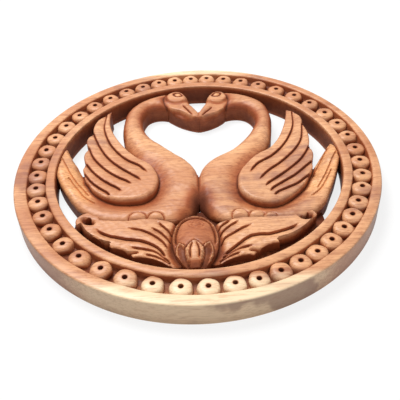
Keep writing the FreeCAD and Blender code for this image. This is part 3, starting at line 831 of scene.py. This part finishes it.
# Acanthus leaves: a main rib and veins that fan out from the bud, and the scroll at the outer end
LEAF_RIBS = {
    "left": curve(
        (-24.5, -99), (-27.5, -94.5), (-31.5, -89.8), (-36.5, -86), (-43, -83),
        (-51, -81), (-60, -79), (-68, -76.3), (-75, -72), (-80.5, -66.3),
    ),
    "right": curve(
        (15.5, -98.5), (20, -96), (24.5, -93), (29, -89), (33.5, -85.5), (38.5, -83),
        (45, -82), (52, -82), (60, -80), (69, -76.8), (77, -72),
    ),
}
LEAF_VEINS = {
    "left": [
        curve((-24, -91), (-27.5, -85), (-32, -80), (-38, -75.5), (-44, -72), (-50, -70.2), (-57, -69)),
        curve((-21.5, -85.5), (-25.5, -80), (-29, -75.5), (-33, -72), (-38, -69.3)),
        curve((-20.2, -79), (-24, -73), (-28, -68), (-32.5, -63)),
        curve((-22, -103), (-28.5, -96.8), (-33, -93.6), (-39, -91), (-46, -88.8), (-54.5, -87)),
        curve((-21, -105), (-28, -100), (-35, -97), (-42.5, -95)),
    ],
    "right": [
        curve((15, -90.5), (17, -86), (20, -82.5), (26, -78.5), (33, -74.2), (41.5, -71)),
        curve((14.4, -82), (16.5, -78), (20, -74), (25, -69.7), (31.5, -66.3)),
        curve((13.4, -76), (16, -71.5), (20, -68), (24.5, -64)),
        curve((15, -101.5), (20, -98), (26, -95), (33, -92.5), (40.5, -91)),
        curve((12.5, -105), (17, -102), (24, -99), (31, -97.3)),
    ],
}
# Outer edges, where the leaf stops short of the solid's outline and shows the sunk ground
LEAF_EDGES = {
    "left": curve((-65.5, -83.6), (-72, -81.7), (-80, -76.3), (-86.2, -70), (-90.5, -62)),
    "right": curve((56, -87.6), (62, -85.8), (68, -83.6), (75, -79.3), (82, -73.3), (87.5, -66)),
}
LOBE_NOTCHES = {
    "left": curve((-57, -92.8), (-51, -93.2), (-44, -92.2)),
    "right": curve((47, -97.5), (41, -96.2), (34.5, -95.5)),
}
SCROLL_CUTS = {
    "left": curve((-88.8, -55.5), (-87.6, -59.5), (-84, -62), (-78.5, -61.8)),
    "right": curve((77.2, -59.5), (77, -64), (80, -67), (84, -66.2), (86.6, -62)),
}
LEAF_CUTS = {side: [LEAF_RIBS[side], *LEAF_VEINS[side], LEAF_EDGES[side]] for side in TURNS}
# Leaves: left x, y, right x, y and crown level
LEAF_FORM = both_sides(
    (-25, -85, 18, -85, 15.5),
    (-45, -78, 40, -80, 16.3),
    (-65, -72, 60, -74, 16.4),
    (-86, -60, 80, -64, 16.8),
    (-48, -92, 40, -96, 14),
    (-20, -100, 14, -102, 13),
)
LEAF_SHADE = 0.3
# Hollow round the bud on the leaves, with painted shade in it
BUD_HOLLOW = 3.0
BUD_HOLLOW_SHADE = 0.85
BUD_HOLLOW_WIDTH = 2.4
BUD_HOLLOW_WIDENING = 2.6
CUT_AWAY_LEVEL = GROUND_TOP + 0.6


def leaf_relief(points, side, turn):
    (crown,) = blended(points, LEAF_FORM[side])
    edge = free_distance(points, rim_of(f"{side}_leaf"), [rim_of("lotus_bud")])
    height = crown - rounded(edge, radius=1.4, drop=0.9) + ripple(points)
    face = Face(height, LEAF_SHADE * ramp(edge, start=1.4, full=0))
    # Scroll, notches, rib and veins, with painted shade in them
    cuts = [
        scored(points, SCROLL_CUTS[side], depth=5, width=1.9),
        scored(points, LOBE_NOTCHES[side], depth=5, width=1.2, shade_and_patina=0.9, open_start=True),
        shingled(points, LEAF_RIBS[side], turn, depth=2.6, width=5, shade_and_patina=0.85, fade_in=0.06, fade_out=0.15),
    ]
    for line in LEAF_VEINS[side]:
        vein = shingled(points, line, turn, depth=1.8, width=4.5, shade_and_patina=0.78, fade_in=0.03, fade_out=0.22)
        cuts.append(vein)
    face.cut(*np.max(cuts, axis=0))
    widening = BUD_HOLLOW_WIDENING * ramp(points[:, 1], start=-82, full=-98)
    hollow = bell(loop_distance(points, rim_of("lotus_bud")), BUD_HOLLOW_WIDTH + widening)
    face.cut(BUD_HOLLOW * hollow, BUD_HOLLOW_SHADE * hollow)
    # Where the leaf is cut away to the ground, that ground takes a painted shadow
    _, share, signed = line_distance(points, LEAF_EDGES[side])
    cut_away = ramp(turn * signed, start=-0.2, full=0.6) * (share > 0) * (share < 1)
    face.cut((face.height - CUT_AWAY_LEVEL) * cut_away, cut_away)
    return face.height, face.recess, 0


# Sunk ground behind the bud and the leaves
# Painted shade with patina on the sunk ground, varied along the gouge marks
GROUND_SHADE = 0.62
GOUGE_SHADE = 0.14
GOUGE_DEPTH = 0.2
GROUND_RIPPLE = 2.0


def ground_relief(points):
    x, y = points.T
    gouged = 0.5 + 0.5 * np.sin(1.1 * x + 0.4 * y)
    pit = np.hypot(*(points - BUD_PIT).T)
    height = GROUND_TOP - GOUGE_DEPTH - bell(pit, width=14, peak=2) + GROUND_RIPPLE * ripple(points)
    # Painted shade on the ground, deepest near the pit
    recess = np.maximum(GROUND_SHADE + GOUGE_SHADE * gouged, ramp(y, start=-76, full=-58))
    return height, recess, 0


# Frame ring: rounded rims, a hollowed channel and the pierced opening, turned a little unevenly by hand
RING_STEPS = 540
# Hand-made unevenness: height of a wave, waves in a round, and phase
RIM_WAVES = ((0.25, 5, 0.7), (0.2, 11, 2.1), (0.12, 23, 0))
FLOOR_WAVES = ((0.25, 31, 0), (0.2, 47, 1))
# Walls of the channel, from the rim down: distance into the rim, level and painted shade with patina
CHANNEL_WALL = [
    (0.2, FACE - 0.6, 0.15),
    (-0.2, FACE - 1.6, 0.5),
    (-0.6, FACE - 4.5, 0.62),
    (-1.4, CHANNEL_FLOOR + 1.6, 0.74),
]


def uneven(turns, waves):
    return sum(height * np.sin(count * turns + phase) for height, count, phase in waves)


def ring_mesh():
    turns = np.arange(RING_STEPS) * math.tau / RING_STEPS
    outward = spokes(turns)
    across = outward @ CARVING_CENTRE
    reach = -across + np.sqrt(across**2 + PANEL_RADIUS**2 - (CARVING_CENTRE**2).sum())
    wobble = uneven(turns, RIM_WAVES)
    floor_wave = uneven(turns, FLOOR_WAVES)
    # Radius, level, painted shade with patina and share of sawn side, from the back's outer edge round to
    # the opening
    profile = [
        (reach, BACK, 0.1, BACK_SAWN),
        (reach, BACK + 0.8, 0.2, 1),
        (reach, BACK + 0.35 * FACE, 0.1, 1),
        (reach, BACK + 0.65 * FACE, 0.05, 1),
        (reach, FACE - 1.6, 0, 1),
        (reach - 0.15, FACE - 0.8, 0, 0.6),
        (reach - 0.6, FACE - 0.25, 0, 0.1),
        (reach - 1.4, FACE, 0.06, 0),
        (0.5 * (reach + CHANNEL_OUTER), FACE, 0.14, 0),
        (CHANNEL_OUTER + 0.9 + wobble, FACE - 0.1, 0.1, 0),
        *((CHANNEL_OUTER + out + wobble, level, shade_and_patina, 0) for out, level, shade_and_patina in CHANNEL_WALL),
        (CHANNEL_OUTER - 3.2, CHANNEL_FLOOR + 0.9 + floor_wave, 0.74, 0),
        (0.5 * (CHANNEL_OUTER + CHANNEL_INNER), CHANNEL_FLOOR + 0.8 + floor_wave, 0.74, 0),
        (CHANNEL_INNER + 3.2, CHANNEL_FLOOR + 0.9 + floor_wave, 0.74, 0),
        *((CHANNEL_INNER - out + wobble, level, shade_and_patina, 0) for out, level, shade_and_patina in CHANNEL_WALL[::-1]),
        (CHANNEL_INNER - 0.9 + wobble, FACE - 0.1, 0.08, 0),
        (0.5 * (CHANNEL_INNER + OPENING_RADIUS), FACE, 0.12, 0),
        (OPENING_RADIUS + 1.3, FACE - 0.1, 0, 0),
        (OPENING_RADIUS + 0.5, FACE - 0.5, 0.05, 0),
        (OPENING_RADIUS + 0.1, FACE - 1.4, 0.25, 0),
        (OPENING_RADIUS, FACE - 4, 0.58, 0),
        (OPENING_RADIUS, 0.5 * FACE, 0.76, 0),
        (OPENING_RADIUS, BACK + 0.2 * FACE, 0.8, 0),
        (OPENING_RADIUS, BACK, 0.3, BACK_SAWN),
    ]
    points = []
    recess = []
    side = []
    for radius, level, shade_and_patina, sawn in profile:
        places = CARVING_CENTRE + outward * np.broadcast_to(radius, RING_STEPS)[:, None]
        points.append(np.column_stack([places, np.broadcast_to(level, RING_STEPS)]))
        recess.append(np.full(RING_STEPS, shade_and_patina, float))
        side.append(np.full(RING_STEPS, sawn, float))
    faces = banded(len(profile), RING_STEPS, joined=True)
    return np.vstack(points), faces, {"recess": np.concatenate(recess), "side": np.concatenate(side)}


# Punched bosses: beads cut from the channel, each with a punched eye
BOSS_SPOKES = 28
BOSS_SEED = 11
BOSS_TOP = FACE - 0.7
BOSS_FOOT = CHANNEL_FLOOR - 0.4
BOSS_LENGTH = 1.1
BOSS_WIDTH = 1.03
EYE_RINGS = 5
FACETS = 5
FACET_DEPTH = 0.025
# Painted shade with patina on a boss's sides, in patches round it
SHADE_PATCHES = 3
PATCHINESS = 0.6
# Spread from boss to boss of the width, lean, top and place of the eye
WIDTH_SPREAD = 0.04
LEAN_SPREAD = 0.03
TOP_SPREAD = 0.15
EYE_SPREAD = 0.35
# Radius, level below the top and painted shade with patina, from the middle of the eye down to the channel
BOSS_PROFILE = [
    (0.0, -3.4, 1.0),
    (1.2, -3.2, 1.0),
    (1.6, -1.6, 1.0),
    (1.75, -0.35, 0.95),
    (2.1, -0.02, 0.35),
    (2.8, 0.0, 0.02),
    (4.0, -0.1, 0.0),
    (5.3, -0.4, 0.0),
    (6.4, -0.95, 0.02),
    (7.15, -1.8, 0.1),
    (7.6, -3.1, 0.28),
    (7.8, -5.0, 0.48),
    (7.85, -7.4, 0.64),
]


def boss_centres():
    points, triangles = welded("rim_bosses")
    group = np.arange(len(points))
    for _ in range(len(triangles)):
        lowest = group[triangles].min(axis=1)
        before = group.copy()
        for corner in range(3):
            np.minimum.at(group, triangles[:, corner], lowest)
        if (group == before).all():
            break
    return [points[group == label].mean(axis=0)[:2] for label in np.unique(group)]


def boss_mesh():
    chance = np.random.RandomState(BOSS_SEED)
    turns = np.arange(BOSS_SPOKES) * math.tau / BOSS_SPOKES
    rings = len(BOSS_PROFILE)
    foot_ring = (rings - 1) * BOSS_SPOKES + np.arange(BOSS_SPOKES)[::-1]
    boss_faces = [*banded(rings, BOSS_SPOKES, flipped=True), tuple(foot_ring)]
    points = []
    faces = []
    recess = []
    for number, centre in enumerate(boss_centres()):
        away = centre - CARVING_CENTRE
        radial = away / np.hypot(*away)
        axes = np.array([radial, (-radial[1], radial[0])])
        stretch = BOSS_WIDTH + WIDTH_SPREAD * chance.randn()
        lean = LEAN_SPREAD * chance.randn(2)
        top = BOSS_TOP + TOP_SPREAD * chance.randn()
        facet = chance.rand() * math.tau
        shift = EYE_SPREAD * chance.randn(2)
        for ring, (radius, drop, shade_and_patina) in enumerate(BOSS_PROFILE):
            off = radius * spokes(turns)
            tones = np.full(BOSS_SPOKES, shade_and_patina)
            if ring >= EYE_RINGS:
                chiselled = 1 + FACET_DEPTH * np.cos(FACETS * turns + facet)
                off *= chiselled[:, None] * (BOSS_LENGTH, stretch)
            off += shift * ramp(radius, start=6, full=1.5)
            if ring >= EYE_RINGS:
                tones *= 1 + PATCHINESS * np.sin(SHADE_PATCHES * np.arctan2(off[:, 1], off[:, 0]) + facet)
            level = np.maximum(top + drop + off @ lean, BOSS_FOOT)
            points.append(np.column_stack([centre + off @ axes, level]))
            recess.append(tones)
        first = number * rings * BOSS_SPOKES
        faces += [tuple(first + corner for corner in face) for face in boss_faces]
    recess = np.concatenate(recess)
    return np.vstack(points), faces, {"recess": recess, "side": np.zeros(len(recess))}


# Hanger: a strap folded round the wire ring and screwed into the pocket behind the rim
HANGER_AXIS = np.array(frame["joints"][0]["pos_m"])[1:] / MM
STRAP_LOW, STRAP_HIGH = (np.array(corner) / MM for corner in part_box("hanger_strap"))
SCREW_LOW, SCREW_HIGH = (np.array(corner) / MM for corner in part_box("hanger_screw"))
RING_HIGH = np.array(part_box("hanger_ring")[1]) / MM
STRAP_HALF = STRAP_HIGH[0]
STRAP_GAUGE = 0.7
STRAP_NOSE = 1.8
STRAP_NOSE_STEPS = 8
STRAP_WRAP = math.radians(200)
STRAP_WRAP_STEPS = 26
STRAP_FLAT_END = 4.0
# Sections across the strap: share of its half width, and share of its gauge
STRAP_SECTIONS = ((-1, 0.72), (-0.94, 1.0), (0.94, 1.0), (1, 0.72))
WIRE_RADIUS = 0.8
WIRE_SPOKES = 14
WIRE_STEP = 0.6
RING_NECK = 0.75
RING_BEND = 2.2
RING_BEND_STEPS = 9
POCKET = ((-9.0, 122.0, BACK - 1.0), (9.0, 146.0, 3.6))


def strap_mesh():
    barrel = STRAP_HIGH[2] - HANGER_AXIS[1]
    turns = np.linspace(math.pi / 2, math.pi / 2 - STRAP_WRAP, STRAP_WRAP_STEPS)
    wrap = spokes(turns)
    nose_turns = np.linspace(0, math.pi / 2, STRAP_NOSE_STEPS)
    nose_y = STRAP_LOW[1] + STRAP_NOSE * (1 - np.cos(nose_turns))
    flat_y = np.append(nose_y, HANGER_AXIS[0] - STRAP_FLAT_END)
    sheet = []
    for gauge in (0, STRAP_GAUGE):
        flat = np.column_stack([flat_y, np.full(len(flat_y), STRAP_HIGH[2] - gauge)])
        sheet.append(np.vstack([flat, HANGER_AXIS + (barrel - gauge) * wrap]))
    outer, inner = sheet
    core = 0.5 * (outer + inner)
    profile = np.vstack([outer, inner[::-1]])
    middle = np.vstack([core, core[::-1]])
    nose = np.clip((STRAP_LOW[1] + STRAP_NOSE - profile[:, 0]) / STRAP_NOSE, 0, 1)
    half = STRAP_HALF - STRAP_NOSE * (1 - domed(nose))
    sections = [
        np.column_stack([half * share, middle + (profile - middle) * fullness])
        for share, fullness in STRAP_SECTIONS
    ]
    count = len(profile)
    ends = [np.arange(count), (len(sections) - 1) * count + np.arange(count)[::-1]]
    return np.vstack(sections), [*ends, *banded(len(sections), count, flipped=True)]


def ring_wire_mesh():
    foot = RING_HIGH[0] - WIRE_RADIUS
    head = RING_NECK * RING_HIGH[0] - WIRE_RADIUS
    top = RING_HIGH[1] - WIRE_RADIUS
    bar, level = HANGER_AXIS
    corners = np.array([(foot, bar), (head, top), (-head, top), (-foot, bar)])
    path = []
    for before, corner, after in zip(np.roll(corners, 1, axis=0), corners, np.roll(corners, -1, axis=0)):
        start = corner + (before - corner) / np.hypot(*(before - corner)) * RING_BEND
        end = corner + (after - corner) / np.hypot(*(after - corner)) * RING_BEND
        for share in np.linspace(0, 1, RING_BEND_STEPS):
            path.append((1 - share) ** 2 * start + 2 * share * (1 - share) * corner + share**2 * end)
    path = evenly_round(np.array(path), WIRE_STEP)
    normal = left_of(np.roll(path, -1, axis=0) - np.roll(path, 1, axis=0))
    points = []
    for place, aside in zip(path, normal):
        for turn in np.arange(WIRE_SPOKES) * math.tau / WIRE_SPOKES:
            spoke = place + WIRE_RADIUS * math.cos(turn) * aside
            points.append((*spoke, level + WIRE_RADIUS * math.sin(turn)))
    return np.array(points), banded(len(path), WIRE_SPOKES, joined=True)


# Screw: radius and height above the head's outside, for the head, the shank, the thread and the point
SCREW_SPOKES = 32
SCREW_HEAD = [(0.0, 0.0), (0.9, 0.02), (1.5, 0.18), (2.0, 0.48), (2.35, 0.85), (2.5, 1.2)]
SCREW_SHANK = [(1.25, 1.2), (1.25, 2.2), (1.0, 2.5)]
SCREW_POINT = [(1.25, 6.9), (0.9, 7.6), (0.0, 9.1)]
THREAD_TURNS = 5
THREAD_PITCH = 0.8
THREAD_START = 2.9
THREAD_CREST = 1.25
THREAD_ROOT = 1.0
SLOT_HALF = (1.5, 0.3)
SLOT_LEVELS = (-0.5, 0.75)
SCREW_MIDDLE = 0.5 * (SCREW_LOW + SCREW_HIGH)[:2]


def screw_mesh():
    thread = []
    for turn in range(THREAD_TURNS):
        crest = THREAD_START + turn * THREAD_PITCH
        thread += [(THREAD_CREST, crest), (THREAD_ROOT, crest + THREAD_PITCH / 2)]
    profile = SCREW_HEAD + SCREW_SHANK + thread + SCREW_POINT
    points = []
    for radius, rise in profile:
        for turn in np.arange(SCREW_SPOKES) * math.tau / SCREW_SPOKES:
            spoke = SCREW_MIDDLE + radius * np.array([math.cos(turn), math.sin(turn)])
            points.append((*spoke, SCREW_LOW[2] + rise))
    return np.array(points), banded(len(profile), SCREW_SPOKES)


def screw_slots():
    low, high = (SCREW_LOW[2] + level for level in SLOT_LEVELS)
    arms = (np.array(SLOT_HALF), np.array(SLOT_HALF[::-1]))
    return [((*(SCREW_MIDDLE - arm), low), (*(SCREW_MIDDLE + arm), high)) for arm in arms]


# Finishes


class Value:
    """A number output of a node tree that takes part in plain arithmetic."""

    def __init__(self, finish, socket):
        self.finish = finish
        self.socket = socket

    def maths(self, operation, *operands):
        return self.finish.node("ShaderNodeMath", {"operation": operation}, dict(enumerate(operands)))

    def __add__(self, other):
        return self.maths("ADD", self, other)

    def __radd__(self, other):
        return self.maths("ADD", other, self)

    def __sub__(self, other):
        return self.maths("SUBTRACT", self, other)

    def __rsub__(self, other):
        return self.maths("SUBTRACT", other, self)

    def __mul__(self, other):
        return self.maths("MULTIPLY", self, other)

    def __rmul__(self, other):
        return self.maths("MULTIPLY", other, self)

    def within(self, low, high):
        inputs = {"Value": self, "From Min": low, "From Max": high}
        settings = {"interpolation_type": "SMOOTHSTEP", "clamp": True}
        return self.finish.node("ShaderNodeMapRange", settings, inputs)


class Finish:
    """The node tree of a material or of the studio's world."""

    def __init__(self, owner, shader="Principled BSDF"):
        owner.use_nodes = True
        self.owner = owner
        self.tree = owner.node_tree
        self.shader = self.tree.nodes[shader]

    def node(self, kind, settings, inputs, output=0):
        """Adds a node, and gives the value at one of its outputs."""
        made = self.tree.nodes.new(kind)
        for label, setting in settings.items():
            setattr(made, label, setting)
        for place, entry in inputs.items():
            self.feed(made.inputs[place], entry)
        return Value(self, made.outputs[output])

    def feed(self, socket, entry):
        if isinstance(entry, Value):
            self.tree.links.new(entry.socket, socket)
        else:
            socket.default_value = entry

    def mixed(self, share, first, second, blend="MIX"):
        settings = {"data_type": "RGBA", "blend_type": blend, "clamp_factor": True}
        return self.node("ShaderNodeMix", settings, {0: share, 6: first, 7: second}, output=2)

    def noise(self, scales, detail, roughness):
        """Noise with its own number of waves in a metre along x, y and z."""
        stretched = {0: self.place(), 1: scales}
        place = self.node("ShaderNodeVectorMath", {"operation": "MULTIPLY"}, stretched)
        inputs = {"Vector": place, "Scale": 1, "Detail": detail, "Roughness": roughness}
        return self.node("ShaderNodeTexNoise", {}, inputs)

    def painted(self, label):
        """Value that the mesh carries at its points: painted shade with patina, share of sawn side, or
        golden tone with painted highlights.
        """
        return self.node("ShaderNodeAttribute", {"attribute_name": label}, {}, output="Fac")

    def place(self):
        return self.node("ShaderNodeTexCoord", {}, {}, output="Object")

    def background_rays(self):
        """One for the rays that show the background: from the camera, or by way of gloss or glass."""
        kinds = ("Is Camera Ray", "Is Glossy Ray", "Is Transmission Ray")
        camera, gloss, glass = (self.node("ShaderNodeLightPath", {}, {}, output=kind) for kind in kinds)
        return (camera + gloss + glass).within(0, 1)

    def surface(self, **sockets):
        for label, entry in sockets.items():
            self.feed(self.shader.inputs[label.replace("_", " ")], entry)


HEARTWOOD = (0.56, 0.246, 0.115, 1)
PALE_WOOD = (0.72, 0.379, 0.192, 1)
# Golden wood, also laid on as a painted highlight on the necks and the eyes
GOLDEN_WOOD_AND_HIGHLIGHT = (0.88, 0.45, 0.185, 1)
LATE_WOOD = (0.34, 0.115, 0.05, 1)
PLUM_STREAK = (0.26, 0.105, 0.08, 1)
SAPWOOD = (0.88, 0.69, 0.45, 1)
# Painted shade with patina: a tint multiplied into the wood, and a deep brown where it is deepest
SHADE_AND_PATINA_TINT = (0.62, 0.34, 0.22, 1)
DEEP_SHADE_AND_PATINA = (0.095, 0.022, 0.009, 1)
SAWN_SAPWOOD = (0.52, 0.37, 0.24, 1)
SAWN_HEARTWOOD = (0.31, 0.155, 0.095, 1)
SAWN_DIRT = (0.17, 0.085, 0.058, 1)
# Lines in y, in millimetres, between which heartwood turns into sapwood: front, back, and sawn side
FRONT_SAPWOOD = (-118, -138)
BACK_SAPWOOD = (139, 147)
SAWN_SAPWOOD_LINE = (-104, -128)
SAPWOOD_SHARE = 0.92
BARK_WANDER = 26.0
BARK_FRAY = 10.0
PORE_DEPTH = 0.0006
PORE_STRENGTH = 0.25


def oiled_wood():
    finish = Finish(bpy.data.materials.new("oiled_wood"))
    plank_y = finish.node("ShaderNodeSeparateXYZ", {}, {0: finish.place()}, output=1) * (1 / MM)
    recess = finish.painted("recess")
    fibre = finish.noise((90, 900, 900), detail=5, roughness=0.65)
    streak = finish.noise((9, 150, 150), detail=5, roughness=0.6)
    grain = finish.noise((24, 330, 330), detail=4, roughness=0.6)
    figure = finish.noise((5, 34, 34), detail=3, roughness=0.5)
    patch = finish.noise((19, 19, 19), detail=4, roughness=0.6)
    grime = finish.noise((95, 95, 95), detail=5, roughness=0.65)
    # Golden wood with its painted highlights, then dark grain, streaks, plum patches and mottling
    layers = [
        (finish.painted("golden") * 0.6, GOLDEN_WOOD_AND_HIGHLIGHT),
        (streak.within(0.48, 0.66) * 0.38, LATE_WOOD),
        (grain.within(0.52, 0.64) * 0.36, LATE_WOOD),
        (fibre.within(0.5, 0.62) * 0.54, LATE_WOOD),
        (patch.within(0.53, 0.66) * streak.within(0.3, 0.6) * 0.58, PLUM_STREAK),
        (grime.within(0.54, 0.68) * 0.36, LATE_WOOD),
    ]
    colour = finish.mixed(figure.within(0.4, 0.62), HEARTWOOD, PALE_WOOD)
    for share, layer in layers:
        colour = finish.mixed(share, colour, layer)
    bark_line = plank_y + (figure + streak - 1) * BARK_WANDER + (fibre - 0.5) * BARK_FRAY
    sapwood = bark_line.within(*FRONT_SAPWOOD) + bark_line.within(*BACK_SAPWOOD)
    colour = finish.mixed(sapwood * SAPWOOD_SHARE, colour, SAPWOOD)
    colour = finish.mixed((fibre + grain).within(1.0, 1.16) * sapwood * 0.4, colour, HEARTWOOD)
    sawn = finish.mixed(bark_line.within(*SAWN_SAPWOOD_LINE), SAWN_HEARTWOOD, SAWN_SAPWOOD)
    for share in (patch.within(0.52, 0.62) * 0.85, fibre.within(0.42, 0.7) * 0.4):
        sawn = finish.mixed(share, sawn, SAWN_DIRT)
    colour = finish.mixed(finish.painted("side") * 0.85, colour, sawn)
    # Painted shade with patina from the recess values, less on the sapwood
    shade_and_patina = recess * (0.75 + grime * 0.5) * (1 - sapwood * 0.3)
    colour = finish.mixed(shade_and_patina.within(0.0, 0.5), colour, SHADE_AND_PATINA_TINT, "MULTIPLY")
    colour = finish.mixed(shade_and_patina.within(0.25, 1.0), colour, DEEP_SHADE_AND_PATINA)
    pores = {"Strength": PORE_STRENGTH, "Distance": PORE_DEPTH, "Height": fibre * 0.6 + streak * 0.4}
    finish.surface(
        Base_Color=colour,
        Roughness=0.45 + fibre * 0.2 + recess * 0.25,
        Specular_IOR_Level=0.15,
        Coat_Weight=(1 - recess) * 0.4,
        Coat_Roughness=0.34,
        Normal=finish.node("ShaderNodeBump", {}, pores),
    )
    return finish.owner


DULL_ZINC = (0.50, 0.48, 0.44, 1)
BRIGHT_ZINC = (0.66, 0.65, 0.62, 1)


def zinc_plate():
    finish = Finish(bpy.data.materials.new("zinc_plate"))
    spangle = finish.noise((900, 900, 900), detail=3, roughness=0.6)
    drawn = finish.noise((400, 4000, 4000), detail=4, roughness=0.6)
    colour = finish.mixed(spangle.within(0.35, 0.7), DULL_ZINC, BRIGHT_ZINC)
    finish.surface(Base_Color=colour, Metallic=1.0, Roughness=0.28 + drawn * 0.2)
    return finish.owner


WOOD = oiled_wood()
ZINC = zinc_plate()


def on_both_sides(form, relief, cuts):
    carvings = {}
    for side, turn in TURNS.items():
        carvings[f"{side}_{form}"] = (functools.partial(relief, side=side, turn=turn), cuts[side], turn)
    return carvings


CARVINGS = {
    **on_both_sides("swan", swan_relief, TAIL_LINES),
    **on_both_sides("head", head_relief, HEAD_CUTS),
    **on_both_sides("wing", wing_relief, FEATHER_CUTS),
    "ground_web": (ground_relief, [], LEFT),
    "lotus_bud": (bud_relief, PETAL_VEINS, LEFT),
    **on_both_sides("leaf", leaf_relief, LEAF_CUTS),
}
for node, (relief, cuts, turn) in CARVINGS.items():
    add_piece(f"{node}_carving", *carve(node, relief, cuts, turn), node, "panel", "carved_wood", WOOD)
add_piece("turned_ring", *ring_mesh(), "frame_ring", "panel", "carved_wood", WOOD, [POCKET])
add_piece("punched_bosses", *boss_mesh(), "rim_bosses", "panel", "carved_wood", WOOD)
add_piece("folded_strap", *strap_mesh(), {}, "hanger_strap", "panel", "hanger_steel", ZINC)
add_piece("wire_ring", *ring_wire_mesh(), {}, "hanger_ring", "hanger", "hanger_steel", ZINC)
add_piece("cross_screw", *screw_mesh(), {}, "hanger_screw", "panel", "hanger_steel", ZINC, screw_slots())

# Floor, light and camera
FLOOR_HALF = 4.0
FLOOR_LEVEL = -0.0002
FLOOR_GLOW = 0.8
WHITE = (1, 1, 1, 1)
PALE_GREY = (0.9, 0.9, 0.9, 1)


def white_floor():
    finish = Finish(bpy.data.materials.new("white_floor"))
    finish.surface(Base_Color=PALE_GREY, Roughness=0.9, Specular_IOR_Level=0.1)
    matt = Value(finish, finish.shader.outputs[0])
    glow = finish.node("ShaderNodeEmission", {}, {"Color": WHITE, "Strength": 1.0})
    glowing = finish.background_rays() * FLOOR_GLOW
    blend = finish.node("ShaderNodeMixShader", {}, {0: glowing, 1: matt, 2: glow})
    finish.feed(finish.tree.nodes["Material Output"].inputs[0], blend)
    return finish.owner


floor_mesh = bpy.data.meshes.new("floor")
floor_corners = [(-1, -1), (1, -1), (1, 1), (-1, 1)]
floor_places = [(x * FLOOR_HALF, y * FLOOR_HALF, FLOOR_LEVEL) for x, y in floor_corners]
floor_mesh.from_pydata(floor_places, [], [(0, 1, 2, 3)])
floor_mesh.materials.append(white_floor())
floor = linked("floor", floor_mesh)

STUDIO_LEVEL = 0.38
studio = Finish(bpy.data.worlds.new("studio"), "Background")
studio.surface(Color=WHITE, Strength=STUDIO_LEVEL + studio.background_rays() * (1 - STUDIO_LEVEL))
bpy.context.scene.world = studio.owner


def soft_lamp(name, place, power, width):
    light = bpy.data.lights.new(name, "AREA")
    light.energy = power
    light.size = width
    lamp = linked(name, light)
    lamp.location = place
    lamp.rotation_euler = (-Vector(place)).to_track_quat("-Z", "Y").to_euler()


soft_lamp("top_softbox", (-0.3, 0.4, 1.05), power=15, width=0.55)
soft_lamp("front_fill", (0.5, -1.0, 0.7), power=4, width=0.8)

# Camera fitted to the rim of the panel in the photograph
LOOK_AT = Vector((1.383, -24.175, 0)) * MM
CAMERA_DISTANCE = 521.4 * MM
CAMERA_ELEVATION = 0.72938
CAMERA_ROLL = -0.04975
FOCAL_PIXELS = 633.36
FRAME_PIXELS = 400
SENSOR_MM = 36.0

back = Vector((0, -math.cos(CAMERA_ELEVATION), math.sin(CAMERA_ELEVATION)))
right = Vector((1, 0, 0))
up = back.cross(right)
camera_x = math.cos(CAMERA_ROLL) * right + math.sin(CAMERA_ROLL) * up
camera_y = -math.sin(CAMERA_ROLL) * right + math.cos(CAMERA_ROLL) * up
camera_data = bpy.data.cameras.new("photo_camera")
camera_data.sensor_width = SENSOR_MM
camera_data.lens = SENSOR_MM * FOCAL_PIXELS / FRAME_PIXELS
camera = linked("photo_camera", camera_data)
camera_axes = Matrix((camera_x, camera_y, back)).transposed().to_4x4()
camera.matrix_world = Matrix.Translation(LOOK_AT + back * CAMERA_DISTANCE) @ camera_axes
bpy.context.scene.camera = camera
bpy.context.scene.view_settings.view_transform = "Standard"
